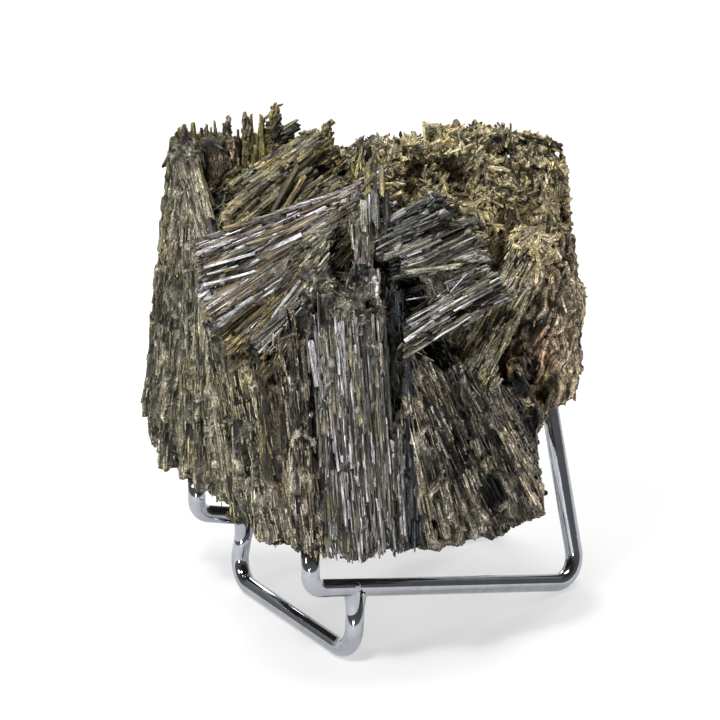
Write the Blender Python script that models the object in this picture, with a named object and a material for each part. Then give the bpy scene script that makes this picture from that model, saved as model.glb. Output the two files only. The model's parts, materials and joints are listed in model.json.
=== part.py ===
"""Epidote specimen on a welded wire display stand.

Units are metres, +Z up. Lengths below are written in millimetres and scaled once by MM.
The stone is a sheaf-like aggregate of epidote crystals grown together as one solid. It rests
on a stand of bent chrome wire: one long frame wire (two arms, two upturned tips and a rear
arch) and one U-shaped front leg welded under the arms.
"""
import math
from collections import namedtuple

import bmesh
import bpy
import numpy as np
from mathutils import Matrix, Vector

MM = 0.001

# ---- wire stand, millimetres ------------------------------------------------------------
WIRE_RADIUS = 2.4
WIRE_SIDES = 12
WIRE_FLAT = WIRE_RADIUS * math.cos(math.pi / WIRE_SIDES)   # to the middle of a flat side
FRONT_BEND = 4.5                               # bend radii, along the wire's centre line
REAR_BEND = 7.0
ARCH_BEND = 5.0
LEG_BEND = 7.0
BEND_STEPS = 5
STAND_TURN = math.radians(32.7)                # the arms' direction, seen from above
REAR_MIDDLE = (49.2, 29.5)                     # between the two rear bends
ARM_LENGTH = 92.0                              # measured along the stand's middle line
REAR_HALF_WIDTH = 20.0
FRONT_HALF_WIDTH = 28.9
ARM_RISE = 24.3                                # height of the arms' front over their rear
ARCH_RISE = 71.0                               # where the uprights would meet, over the bends
ARCH_LEAN = -0.04                              # slope of the uprights towards the stone
LEG_SETBACK = 79.6                             # rear bends to the front leg's bar
LEG_FOOT_HALF_WIDTH = 29.8
WELD_FROM_FRONT = 0.159                        # share of the arm, from its front corner
TOUCHING_GAP = 0.3                             # between pieces that touch
SEAT_STEPS = 8                                 # steps that settle the arch under the stone
PROBE_ANGLES = 12                              # rays that feel for the stone over a wire
PROBE_REACHES = (0.0, 0.6, 1.1)                # their distances out, in wire radii

# ---- stone, millimetres -----------------------------------------------------------------
UNDERSIDE = 34.4                               # height of the stone's lowest crystals
END_SLANT = 0.35                               # slope of a broken crystal end
CRYSTAL_SHARE = (0.6, 1.4)                     # uneven widths within one sheaf
CRYSTAL_LAP = (1.3, 1.55)                      # width over share, so that neighbours merge
CRYSTAL_LIFT = 1.2                             # how far a crystal stands out or back
CRYSTAL_THICKNESS = (0.85, 1.05)               # share of the sheaf's thickness
SHORT_START = 0.06                             # share of the length missing at each end
SHORT_END = 0.03
SEED = 11

Spike = namedtuple("Spike", "foot tip width")
Sheaf = namedtuple("Sheaf", "name start end width_start width_end thickness count outward")
Block = namedtuple("Block", "name corners")
Crystal = namedtuple("Crystal", "start end width thickness outward slants taper")

LEFT_FRONT = (-0.75, -0.66, 0.0)
LEFT = (-1.0, 0.0, 0.0)
FRONT = (0.0, -1.0, 0.0)
FRONT_UP = (-0.15, -0.75, 0.65)
RIGHT_FRONT = (0.55, -0.83, 0.0)
RIGHT = (1.0, 0.0, 0.0)
BACK = (0.0, 1.0, 0.0)
BACK_LEFT = (-0.6, 0.8, 0.0)
BACK_RIGHT = (0.6, 0.8, 0.0)
UP = (0.0, 0.0, 1.0)

# Massive matrix that the crystals grow from. It stays a few millimetres under the crystals,
# so that the gaps between sheaves are real pits.
BLOCKS = (
    Block("left_slab", (
        (-24, -33, 38), (-38, -1, 38), (-45, 12, 40), (-50, 14, 52), (-50, 30, 48),
        (-40, 36, 40), (-14, 36, 38), (-14, -34, 38),
        (-43, 5, 121), (-43, 14, 121), (-38, 22, 112), (-37, 2, 104), (-24, -29, 82))),
    Block("front_block", (
        (-22, -34, 38), (-14, -42, 38), (-3, -43, 38), (10, -39, 38), (27, -32, 39),
        (43, -14, 43), (41, 8, 43), (34, 22, 42), (10, 38, 39), (-14, 36, 38),
        (-22, -32, 84), (-3, -37, 97), (7, -36, 94), (24, -25, 84), (43, -6, 92),
        (42, 14, 92), (0, 34, 100), (-20, 32, 98))),
    Block("upper_block", (
        (-28, -20, 86), (-30, 18, 106), (-20, 16, 112), (0, -24, 110), (10, -18, 106),
        (-2, 2, 118), (28, -12, 105), (45, -4, 104), (48, 4, 113), (48, 20, 113),
        (50, 30, 70), (46, 20, 69), (12, 38, 72), (-28, 34, 80), (0, 20, 115),
        (36, 20, 116), (30, 2, 119), (10, 0, 119))),
)

# Coarse columns through the whole mass. Their broken ends make the top and the underside.
COLUMN_STEP = (19.0, 17.0)
COLUMN_WIDTH = (19.0, 22.0)
COLUMN_LEAN = 0.05
COLUMN_FIELD = ((-40, -29), (50, 36))
COLUMN_FOOT = ((-20, -26), (-37, 4), (-43, 18), (-37, 32), (8, 35), (31, 20), (39, 6),
               (37, -10), (22, -27), (0, -33))
COLUMN_DEPTH = 0.9                             # thickness over width
FOOT_SPREAD = (0.4, 3.0)                       # height of the lower ends over the underside
TOP_SPREAD = 6.0                               # how much the upper ends differ
END_TILT = (1.0, 0.3)                          # share of the slant on upper and lower ends

# The broken top, from left to right, and its slopes: depth y, height there, rise per
# millimetre towards the back.
PLATEAU_EDGE = -30.0
SADDLE_EDGE = -12.0
PLATEAU_TOP = 121.0
SADDLE_TOP = 118.0
RIDGE_TOP = 123.0
FRONT_SLOPE = (-24.0, 107.0, 0.75)
BACK_SLOPE = (8.0, 122.0, -0.7)

# Bundles of parallel or fanned crystals: middle of the top end, middle of the lower end,
# width at each, thickness, number of crystals, and the side that they face.
SHEAVES = (
    # left side and the slab that faces left
    Sheaf("left_edge", (-44.8, 3, 129), (-52.8, 9, 47), 9, 13, 9, 3, LEFT_FRONT),
    Sheaf("left_side", (-45, 12, 127), (-52, 25, 42), 9, 17, 8, 2, LEFT),
    Sheaf("left_rear", (-43, 20, 118), (-50, 35, 46), 9, 12, 9, 2, BACK_LEFT),
    Sheaf("slab_outer", (-42, -4, 121), (-45, 4, 33.6), 9, 19, 9, 3, LEFT_FRONT),
    Sheaf("slab_middle", (-39, -12, 108), (-36, -9, 35), 8, 15, 9, 3, LEFT_FRONT),
    Sheaf("slab_inner", (-36, -21, 86), (-28, -26, 35), 9, 14, 9, 3, LEFT_FRONT),
    Sheaf("ridge_left", (-28, -33, 86), (-25, -38, 35), 6, 9, 9, 2, LEFT_FRONT),
    Sheaf("ridge_right", (-21, -38, 88), (-18, -43, 35), 9, 10, 9, 2, (-0.3, -0.95, 0.0)),
    Sheaf("plateau", (-39, 8, 129), (-37, 6, 108), 13, 11, 10, 2, (0.1, -1.0, 0.0)),
    Sheaf("box_wall", (-44, -3, 126), (-38, -15, 107), 5, 4, 6, 2, FRONT),
    # long column of the middle front
    Sheaf("column_left", (-13, -42, 101), (-11, -45, 34.6), 9, 10, 9, 3, FRONT),
    Sheaf("column_bright", (-6, -44, 104), (-4, -46, 34.4), 8, 8, 9, 2, FRONT),
    Sheaf("column_gloss", (1, -44, 102), (3, -46, 34.5), 7, 8, 9, 2, FRONT),
    Sheaf("column_dark", (8, -40, 104), (9, -43, 34.8), 6, 8, 9, 2, FRONT),
    # broad fan whose rays spread to the left from one focus
    Sheaf("fan_top", (3, -23, 123), (-40, -24, 105), 5, 10, 9, 3, FRONT_UP),
    Sheaf("fan_middle", (1, -27, 121), (-39, -28, 96), 5, 10, 9, 3, FRONT_UP),
    Sheaf("fan_lower", (-1, -31, 117), (-35, -32, 87), 5, 10, 9, 3, FRONT_UP),
    Sheaf("fan_foot", (-3, -34, 114), (-27, -36, 85), 5, 9, 9, 3, FRONT_UP),
    Sheaf("fan_streak", (-5, -37, 109), (-23, -40, 88), 3, 5, 8, 2, FRONT),
    # thick log of parallel crystals behind the fan
    Sheaf("log_upper", (-10, 8, 128), (-37, -6, 112), 7, 9, 11, 2, FRONT_UP),
    Sheaf("log_middle", (-6, 5, 126), (-37, -13, 106), 10, 9, 10, 2, FRONT_UP),
    Sheaf("log_lower", (-4, -5, 121), (-29, -17, 106), 6, 6, 8, 2, FRONT_UP),
    # upright prisms and blocks over the column
    Sheaf("peak", (4, -12, 131), (3, -27, 115), 9, 8, 12, 2, FRONT),
    Sheaf("upright_prisms", (1, -29, 125), (1, -39, 110), 5, 4, 6, 2, FRONT),
    Sheaf("upright_blocks", (1, -39, 108), (1, -43, 101), 5, 5, 8, 1, FRONT),
    # blades right of the middle, with a hollow under them
    Sheaf("blade_top", (21, -27, 120), (3, -35, 114), 7, 6, 8, 2, FRONT_UP),
    Sheaf("blade_middle", (29, -27, 115), (6, -37, 109), 6, 6, 7, 2, FRONT_UP),
    Sheaf("blade_lower", (31, -27, 107), (9, -35, 103), 5, 4, 7, 2, FRONT),
    Sheaf("cross_prisms", (16, -29, 109), (20, -34, 98), 6, 5, 5, 2, FRONT),
    Sheaf("blade_long", (35, -27, 101), (11, -40, 92), 7, 6, 8, 2, FRONT),
    Sheaf("blade_short", (22, -37, 96), (9, -43, 90), 3, 3, 5, 1, FRONT),
    # lower right fibres, which run down to the right
    Sheaf("slant_inner", (11, -42, 74), (17, -41, 35), 8, 13, 9, 3, FRONT),
    Sheaf("slant_middle", (12, -41, 86), (29, -35, 35.5), 8, 13, 9, 3, (0.2, -0.98, 0.0)),
    Sheaf("slant_long", (19, -37, 86), (38, -31, 36), 8, 12, 9, 3, RIGHT_FRONT),
    Sheaf("slant_outer", (28, -30, 81), (47, -23, 37), 8, 11, 9, 3, RIGHT_FRONT),
    Sheaf("corner_block", (38, -22, 74), (47, -11, 46), 8, 9, 9, 2, RIGHT_FRONT),
    # band that curves down from the right shoulder, and the weathered right flank
    Sheaf("shoulder_band", (46, -12, 106), (28, -32, 78), 8, 7, 9, 3, RIGHT_FRONT),
    Sheaf("shoulder_outer", (50, -6, 95), (38, -22, 66), 9, 9, 9, 3, RIGHT_FRONT),
    Sheaf("flank_top", (49, 5, 122), (52, 2, 88), 10, 12, 9, 2, (0.85, -0.5, 0.0)),
    Sheaf("flank_bulge", (53.5, 1, 92), (52, -2, 58), 12, 12, 9, 3, (0.85, -0.5, 0.0)),
    Sheaf("flank_low", (49, 2, 66), (43, 4, 42), 12, 10, 8, 2, RIGHT),
    Sheaf("side_top", (51.5, 16, 118), (54, 18, 66), 14, 14, 8, 2, RIGHT),
    Sheaf("side_rear", (45, 24, 112), (51, 30, 64), 10, 9, 9, 2, BACK_RIGHT),
    # back: slabs of parallel crystals in steps, leaning different ways
    Sheaf("back_left_top", (-36, 22, 116), (-42, 34, 72), 12, 14, 9, 2, BACK_LEFT),
    Sheaf("back_left_foot", (-40, 36, 84), (-43, 37, 40), 12, 14, 9, 2, BACK_LEFT),
    Sheaf("back_slab_top", (-24, 22, 114), (-30, 35, 74), 13, 15, 9, 2, BACK),
    Sheaf("back_slab_foot", (-24, 38, 88), (-30, 40, 37), 14, 15, 9, 2, BACK),
    Sheaf("back_middle", (-14, 25, 119), (-12, 39, 62), 13, 14, 9, 2, BACK),
    Sheaf("back_middle_foot", (-12, 41, 76), (-14, 42, 36), 12, 15, 8, 2, BACK),
    Sheaf("back_wide", (0, 26, 122), (4, 42, 38), 14, 16, 9, 2, BACK),
    Sheaf("back_right", (14, 27, 122), (19, 39, 40), 13, 14, 9, 2, BACK),
    Sheaf("back_shoulder", (30, 26, 119), (34, 36, 66), 14, 13, 9, 2, BACK),
    Sheaf("back_foot", (28, 35, 66), (31, 24, 41), 13, 12, 8, 2, BACK_RIGHT),
    Sheaf("back_log", (10, 34, 100), (-22, 36, 82), 9, 11, 9, 2, (0.0, 0.9, 0.4)),
    Sheaf("back_cross", (42, 36, 80), (18, 41, 62), 7, 8, 7, 2, BACK),
)

# Free crystals on the top and the right edge: foot, tip and width.
SPIKES = (
    Spike((-34, 9, 118), (-34.5, 9, 133), 4.0),
    Spike((-29.5, 10, 116), (-29, 10, 133.5), 4.6),
    Spike((-25, 12, 98), (-25.5, 13, 131.5), 4.6),
    Spike((-23, 11, 98), (-22, 11, 136), 5.2),
    Spike((-20.5, 12, 98), (-18.5, 12, 131), 4.8),
    Spike((-44, 6, 120), (-45, 5, 132), 4.0),
    Spike((-39, 10, 118), (-40, 10, 131), 3.6),
    Spike((-12, 8, 108), (-8.5, 10, 132), 5.0),
    Spike((48, 4, 100), (56.5, 2, 108), 3.0),
    Spike((48, 6, 92), (56.5, 2, 97), 3.2),
    Spike((50, 0, 80), (56.5, -3, 84), 3.4),
)

SPIKE_DEPTH = 0.8                              # thickness over width
SPIKE_TAPER = 0.55                             # tip width over foot width
SPIKE_SLANT = 1.2                              # slope of the chisel tip

# The jumble of small blades that caps the right half.
HAY_BLADES = 20
HAY_LENGTH = (10.0, 18.0)
HAY_WIDTH = (3.2, 6.5)
HAY_DEPTH = 0.8                                # thickness over width
HAY_RISE = (0.05, 0.5)                         # how steeply the blades point out
HAY_SLANT = 1.0                                # slope of their ends
HAY_PATCHES = (
    # two corners of the patch, then the side it faces
    ((6, -5, 125), (36, 12, 131), UP),
    ((30, -3, 120), (47, 13, 128), UP),
    ((14, -20, 110), (42, -6, 119), (0.2, -0.7, 0.7)),
)


def mm(values):
    """A point in millimetres as a vector in metres."""
    return Vector(values) * MM


def facing_matrix(start, end, outward):
    """Rotation whose Z runs from start to end and whose Y looks outward."""
    along = (end - start).normalized()
    out = Vector(outward)
    out = (out - along * out.dot(along)).normalized()
    across = out.cross(along)
    return Matrix((across, out, along)).transposed()


def sheaf_crystals(sheaf, rng):
    """Crystals side by side from one end of the sheaf to the other, with uneven ends."""
    start, end = mm(sheaf.start), mm(sheaf.end)
    rotation = facing_matrix(start, end, sheaf.outward)
    across, out, along = rotation.col[0], rotation.col[1], rotation.col[2]
    length = (end - start).length
    shares = rng.uniform(*CRYSTAL_SHARE, sheaf.count)
    shares /= shares.sum()
    places = np.cumsum(shares) - shares / 2 - 0.5
    spread = sheaf.width_end / sheaf.width_start
    crystals = []
    for place, share in zip(places, shares):
        lift = rng.uniform(-CRYSTAL_LIFT, CRYSTAL_LIFT) * MM
        short_start = rng.uniform(0.0, SHORT_START) * length
        short_end = rng.uniform(0.0, SHORT_END) * length
        low = start + across * place * sheaf.width_start * MM + out * lift
        high = end + across * place * sheaf.width_end * MM + out * lift
        width = sheaf.width_start * MM * share * rng.uniform(*CRYSTAL_LAP)
        depth = sheaf.thickness * MM * rng.uniform(*CRYSTAL_THICKNESS)
        thickness = depth * 2 / (1 + spread)
        slants = rng.uniform(-END_SLANT, END_SLANT, 2)
        crystals.append(Crystal(low + along * short_start, high - along * short_end, width,
                                thickness, sheaf.outward, slants, spread))
    return crystals


def top_height(x, y):
    """Height of the broken top: a crest behind the middle that falls away on both sides."""
    if x < PLATEAU_EDGE:
        crest = PLATEAU_TOP
    elif x < SADDLE_EDGE:
        crest = SADDLE_TOP
    else:
        crest = RIDGE_TOP
    slopes = [height + rise * (y - depth) for depth, height, rise in (FRONT_SLOPE, BACK_SLOPE)]
    return min(crest, *slopes)


def inside(outline, x, y):
    """Whether a point lies in a convex outline given clockwise or anticlockwise."""
    turns = []
    for (ax, ay), (bx, by) in zip(outline, outline[1:] + outline[:1]):
        turns.append((bx - ax) * (y - ay) - (by - ay) * (x - ax) > 0)
    return all(turns) or not any(turns)


def column_crystals(rng):
    """Coarse upright columns whose ends break off at different heights."""
    (left, front), (right, back) = COLUMN_FIELD
    crystals = []
    for row, y in enumerate(np.arange(front, back, COLUMN_STEP[1])):
        offset = COLUMN_STEP[0] / 2 if row % 2 else 0.0
        for x in np.arange(left + offset, right, COLUMN_STEP[0]):
            if not inside(COLUMN_FOOT, x, y):
                continue
            foot = UNDERSIDE + rng.uniform(*FOOT_SPREAD)
            top = top_height(x, y) + rng.uniform(-0.5, 0.5) * TOP_SPREAD
            lean = rng.uniform(-COLUMN_LEAN, COLUMN_LEAN, 2) * (top - foot)
            width = rng.uniform(*COLUMN_WIDTH) * MM
            turn = rng.uniform(0.0, math.tau)
            outward = (math.cos(turn), math.sin(turn), 0.0)
            slants = rng.uniform(-END_SLANT, END_SLANT, 2) * END_TILT
            crystals.append(Crystal(mm((x + lean[0], y + lean[1], top)), mm((x, y, foot)),
                                    width, width * COLUMN_DEPTH, outward, slants, 1.0))
    return crystals


def spike_crystal(spike, rng):
    """One free crystal that narrows to a chisel tip."""
    width = spike.width * MM
    outward = (rng.uniform(-0.5, 0.5), -1.0, rng.uniform(-0.2, 0.2))
    slants = (0.0, rng.choice((-SPIKE_SLANT, SPIKE_SLANT)))
    return Crystal(mm(spike.foot), mm(spike.tip), width, width * SPIKE_DEPTH, outward,
                   slants, SPIKE_TAPER)


def hay_crystals(rng):
    """Short blades at all angles, each about half sunk in the matrix."""
    crystals = []
    for index in range(HAY_BLADES):
        low, high, outward = HAY_PATCHES[index % len(HAY_PATCHES)]
        low, high = mm(low), mm(high)
        share = rng.uniform(0.0, 1.0, 3)
        middle = Vector(low[axis] + (high[axis] - low[axis]) * share[axis] for axis in range(3))
        turn = rng.uniform(0.0, math.tau)
        rise = rng.uniform(*HAY_RISE)
        normal = Vector(outward).normalized()
        side = normal.orthogonal().normalized()
        along = side * math.cos(turn) + normal.cross(side) * math.sin(turn) + normal * rise
        half = along.normalized() * rng.uniform(*HAY_LENGTH) * MM / 2
        width = rng.uniform(*HAY_WIDTH) * MM
        slants = rng.uniform(-HAY_SLANT, HAY_SLANT, 2)
        crystals.append(Crystal(middle - half, middle + half, width, width * HAY_DEPTH,
                                outward, slants, 1.0))
    return crystals


def crystal_object(crystal, collection):
    """One flattened six-sided prism from start to end, with its end faces slanted."""
    bm = bmesh.new()
    length = (crystal.end - crystal.start).length
    made = bmesh.ops.create_cone(bm, cap_ends=True, cap_tris=False, segments=6,
                                 radius1=0.5, radius2=0.5 * crystal.taper, depth=1.0)
    rotation = facing_matrix(crystal.start, crystal.end, crystal.outward)
    middle = (crystal.start + crystal.end) / 2
    for vert in made["verts"]:
        slant = crystal.slants[1] if vert.co.z > 0 else crystal.slants[0]
        local = Vector((vert.co.x * crystal.width, vert.co.y * crystal.thickness,
                        vert.co.z * length))
        local.z += local.x * slant
        vert.co = middle + rotation @ local
    return mesh_object("crystal", bm, collection)


def block_object(block, collection):
    """A convex block through its corners."""
    bm = bmesh.new()
    verts = [bm.verts.new(mm(corner)) for corner in block.corners]
    hull = bmesh.ops.convex_hull(bm, input=verts)
    loose = [item for item in hull["geom_interior"] if isinstance(item, bmesh.types.BMVert)]
    bmesh.ops.delete(bm, geom=loose, context="VERTS")
    return mesh_object(block.name, bm, collection)


def mesh_object(name, bm, collection):
    """A new object that holds a copy of the bmesh."""
    bmesh.ops.recalc_face_normals(bm, faces=bm.faces)
    mesh = bpy.data.meshes.new(name)
    bm.to_mesh(mesh)
    bm.free()
    item = bpy.data.objects.new(name, mesh)
    collection.objects.link(item)
    return item


def keep_largest_shell(bm):
    """Drops sealed bubbles and loose chips that a union can leave."""
    unseen = set(bm.verts)
    shells = []
    while unseen:
        stack = [unseen.pop()]
        shell = []
        while stack:
            vert = stack.pop()
            shell.append(vert)
            for edge in vert.link_edges:
                other = edge.other_vert(vert)
                if other in unseen:
                    unseen.remove(other)
                    stack.append(other)
        shells.append(shell)
    shells.sort(key=len)
    for shell in shells[:-1]:
        bmesh.ops.delete(bm, geom=shell, context="VERTS")


def fuse(first, rest, name, collection):
    """Unites one object with those of a collection, as one closed mesh."""
    union = first.modifiers.new("union", "BOOLEAN")
    union.operation = "UNION"
    union.solver = "EXACT"
    union.operand_type = "COLLECTION"
    union.collection = rest
    union.use_self = True
    bpy.context.view_layer.update()
    evaluated = first.evaluated_get(bpy.context.evaluated_depsgraph_get())
    bm = bmesh.new()
    bm.from_mesh(evaluated.to_mesh())
    evaluated.to_mesh_clear()
    bpy.data.objects.remove(first)
    bmesh.ops.triangulate(bm, faces=bm.faces)
    bmesh.ops.remove_doubles(bm, verts=bm.verts, dist=0.001 * MM)
    keep_largest_shell(bm)
    return mesh_object(name, bm, collection)


def make_stone(parts, cutters):
    """The whole crystal mass, one closed solid."""
    rng = np.random.default_rng(SEED)
    pieces = [block_object(block, cutters) for block in BLOCKS]
    crystals = [crystal for sheaf in SHEAVES for crystal in sheaf_crystals(sheaf, rng)]
    crystals += column_crystals(rng)
    crystals += [spike_crystal(spike, rng) for spike in SPIKES]
    crystals += hay_crystals(rng)
    pieces += [crystal_object(crystal, cutters) for crystal in crystals]
    first = pieces.pop(0)
    cutters.objects.unlink(first)
    parts.objects.link(first)
    stone = fuse(first, cutters, "epidote", parts)
    for piece in pieces:
        bpy.data.objects.remove(piece)
    return stone


def rounded(corners, radii):
    """A path through the corners, each inner one turned into an arc of its bend radius."""
    points = [corners[0]]
    for before, corner, after, radius in zip(corners, corners[1:], corners[2:], radii):
        back = (before - corner).normalized()
        forth = (after - corner).normalized()
        half_angle = back.angle(forth) / 2
        centre = corner + (back + forth).normalized() * (radius / math.sin(half_angle))
        first = corner + back * (radius / math.tan(half_angle)) - centre
        axis = forth.cross(back)
        sweep = math.pi - 2 * half_angle
        for step in range(BEND_STEPS + 1):
            turn = Matrix.Rotation(sweep * step / BEND_STEPS, 3, axis)
            points.append(centre + turn @ first)
    points.append(corners[-1])
    return points


def profile_around(direction):
    """The wire's many-sided section square to a direction, with one flat side facing down."""
    down = Vector((0.0, 0.0, -1.0))
    down = (down - direction * down.dot(direction)).normalized()
    across = direction.cross(down)
    angles = [math.tau * (side + 0.5) / WIRE_SIDES for side in range(WIRE_SIDES)]
    return [(down * math.cos(a) + across * math.sin(a)) * WIRE_RADIUS for a in angles]


def mitred(profile, direction, following):
    """The section slid along its own direction onto the mitre plane of two directions."""
    mitre = (direction + following).normalized()
    return [edge - direction * (edge.dot(mitre) / direction.dot(mitre)) for edge in profile]


def squared(ring, direction):
    """The section that a mitred ring makes square to a direction."""
    return [edge - direction * edge.dot(direction) for edge in ring]


def wire_rings(points, level):
    """Rings of section points along the path, whose flat side faces down on segment level."""
    directions = [(after - before).normalized() for before, after in zip(points, points[1:])]
    start = profile_around(directions[level])
    rings = [None] * len(points)
    profile = start
    for index in range(level + 1, len(points) - 1):
        rings[index] = mitred(profile, directions[index - 1], directions[index])
        profile = squared(rings[index], directions[index])
    rings[-1] = profile
    profile = start
    for index in range(level, 0, -1):
        rings[index] = mitred(profile, directions[index], directions[index - 1])
        profile = squared(rings[index], directions[index - 1])
    rings[0] = profile
    return [[point + edge for edge in ring] for point, ring in zip(points, rings)]


def wire(name, points, level, collection):
    """A wire of round section along a path in millimetres."""
    bm = bmesh.new()
    rings = [[bm.verts.new(mm(spot)) for spot in ring] for ring in wire_rings(points, level)]
    for low, high in zip(rings, rings[1:]):
        for side in range(WIRE_SIDES):
            after = (side + 1) % WIRE_SIDES
            bm.faces.new((low[side], low[after], high[after], high[side]))
    bm.faces.new(rings[0])
    bm.faces.new(rings[-1])
    return mesh_object(name, bm, collection)


def stand_corners():
    """The corners that the stand's wires bend at, in millimetres."""
    forth = Vector((math.cos(STAND_TURN), math.sin(STAND_TURN), 0.0))
    side = Vector((-forth.y, forth.x, 0.0))
    pitch = math.atan2(ARM_RISE, ARM_LENGTH)
    half_angle = (math.pi / 2 - pitch) / 2
    rear_height = WIRE_FLAT + REAR_BEND - REAR_BEND / math.tan(half_angle)
    rear = Vector((*REAR_MIDDLE, rear_height))
    front = rear - forth * ARM_LENGTH + Vector((0.0, 0.0, ARM_RISE))
    foot = Vector((*REAR_MIDDLE, WIRE_FLAT)) - forth * LEG_SETBACK
    corners = {"rear": rear, "apex": rear + (forth * ARCH_LEAN + Vector((0, 0, 1))) * ARCH_RISE}
    for label, hand in (("near", -1.0), ("far", 1.0)):
        rear_corner = rear + side * hand * REAR_HALF_WIDTH
        front_corner = front + side * hand * FRONT_HALF_WIDTH
        corners[f"{label}_rear"] = rear_corner
        corners[f"{label}_front"] = front_corner
        corners[f"{label}_weld"] = front_corner.lerp(rear_corner, WELD_FROM_FRONT)
        corners[f"{label}_foot"] = foot + side * hand * LEG_FOOT_HALF_WIDTH
    return corners


def underside_height(stone, x, y):
    """Height in millimetres of the lowest stone over a wire's width around x, y."""
    lowest = None
    for angle in np.linspace(0.0, math.tau, PROBE_ANGLES, endpoint=False):
        for reach in PROBE_REACHES:
            spot = Vector((x + reach * WIRE_RADIUS * math.cos(angle),
                           y + reach * WIRE_RADIUS * math.sin(angle), 0.0)) * MM
            hit, place, _, _ = stone.ray_cast(spot, Vector((0.0, 0.0, 1.0)))
            if hit and (lowest is None or place.z / MM < lowest):
                lowest = place.z / MM
    return UNDERSIDE if lowest is None else lowest


def seated_apex(corners, stone):
    """The apex corner for an arch whose rounded top just carries the stone."""
    rear, apex = corners["rear"], corners["apex"]
    goal = underside_height(stone, apex.x, apex.y) - TOUCHING_GAP
    lean = (apex - rear) / (apex.z - rear.z)
    rise = apex.z - rear.z
    for _ in range(SEAT_STEPS):
        cut_off = ARCH_BEND * (math.hypot(1.0, rise / REAR_HALF_WIDTH) - 1.0)
        top = rear.z + rise - cut_off + WIRE_RADIUS
        rise += goal - top
    return rear + lean * rise


def make_frame_wire(corners, stone, collection):
    """Tip, arm, rear bend, arch, rear bend, arm, tip: one continuous wire."""
    path = []
    for label in ("near", "far"):
        front = corners[f"{label}_front"]
        top = underside_height(stone, front.x, front.y) - TOUCHING_GAP
        path.append(Vector((front.x, front.y, top)))
    near_tip, far_tip = path
    apex = seated_apex(corners, stone)
    route = (near_tip, corners["near_front"], corners["near_rear"], apex,
             corners["far_rear"], corners["far_front"], far_tip)
    radii = (FRONT_BEND, REAR_BEND, ARCH_BEND, REAR_BEND, FRONT_BEND)
    first_arm = BEND_STEPS + 1
    return wire("frame_wire", rounded(route, radii), first_arm, collection)


def make_front_leg(corners, collection):
    """The U-shaped leg, whose ends stop just under the arms."""
    ends = []
    for label in ("near", "far"):
        arm = corners[f"{label}_rear"] - corners[f"{label}_front"]
        steepness = abs(arm.z) / math.hypot(arm.x, arm.y)
        drop = WIRE_RADIUS * math.hypot(1.0, steepness) + WIRE_RADIUS * steepness + TOUCHING_GAP
        foot, weld = corners[f"{label}_foot"], corners[f"{label}_weld"]
        share = (weld.z - drop - foot.z) / (weld.z - foot.z)
        ends.append(foot.lerp(weld, share))
    route = (ends[0], corners["near_foot"], corners["far_foot"], ends[1])
    path = rounded(route, (LEG_BEND, LEG_BEND))
    bar = BEND_STEPS + 1
    return wire("front_leg", path, bar, collection)


def material(name, colour, roughness, metallic):
    """A Principled material of one colour."""
    made = bpy.data.materials.new(name)
    made.use_nodes = True
    shader = made.node_tree.nodes["Principled BSDF"]
    shader.inputs["Base Color"].default_value = (*colour, 1.0)
    shader.inputs["Roughness"].default_value = roughness
    shader.inputs["Metallic"].default_value = metallic
    return made


def stand_on_origin(items):
    """Moves everything so that the box's bottom centre is at the origin."""
    bpy.context.view_layer.update()
    depsgraph = bpy.context.evaluated_depsgraph_get()
    points = []
    for item in items:
        evaluated = item.evaluated_get(depsgraph)
        mesh = evaluated.to_mesh()
        flat = np.empty(len(mesh.vertices) * 3)
        mesh.vertices.foreach_get("co", flat)
        points.append(flat.reshape(-1, 3))
        evaluated.to_mesh_clear()
    points = np.concatenate(points)
    low, high = points.min(axis=0), points.max(axis=0)
    shift = Vector((-(low[0] + high[0]) / 2, -(low[1] + high[1]) / 2, -low[2]))
    for item in items:
        item.location = shift


def main():
    for item in list(bpy.data.objects):
        bpy.data.objects.remove(item)
    parts = bpy.data.collections.new("epidote_specimen")
    cutters = bpy.data.collections.new("crystal_pieces")
    bpy.context.scene.collection.children.link(parts)
    bpy.context.scene.collection.children.link(cutters)

    stone = make_stone(parts, cutters)
    bpy.context.view_layer.update()
    corners = stand_corners()
    frame_wire = make_frame_wire(corners, stone, parts)
    front_leg = make_front_leg(corners, parts)

    chrome = material("chrome", (0.80, 0.82, 0.85), 0.08, 1.0)
    stone.data.materials.append(material("epidote_stone", (0.11, 0.10, 0.05), 0.45, 0.0))
    frame_wire.data.materials.append(chrome)
    front_leg.data.materials.append(chrome)
    stand_on_origin((stone, frame_wire, front_leg))


main()
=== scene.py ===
"""The looks of the epidote specimen and its wire stand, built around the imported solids.

Lengths are millimetres in the design frame, in which the stone's sheaves are laid out. The
packed front leg's box says where that frame sits, and place() turns a point into metres in
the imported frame.
"""
import json
import math
from collections import namedtuple

import bmesh
import bpy
import numpy as np
from mathutils import Matrix, Vector, noise
from mathutils.bvhtree import BVHTree

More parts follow.
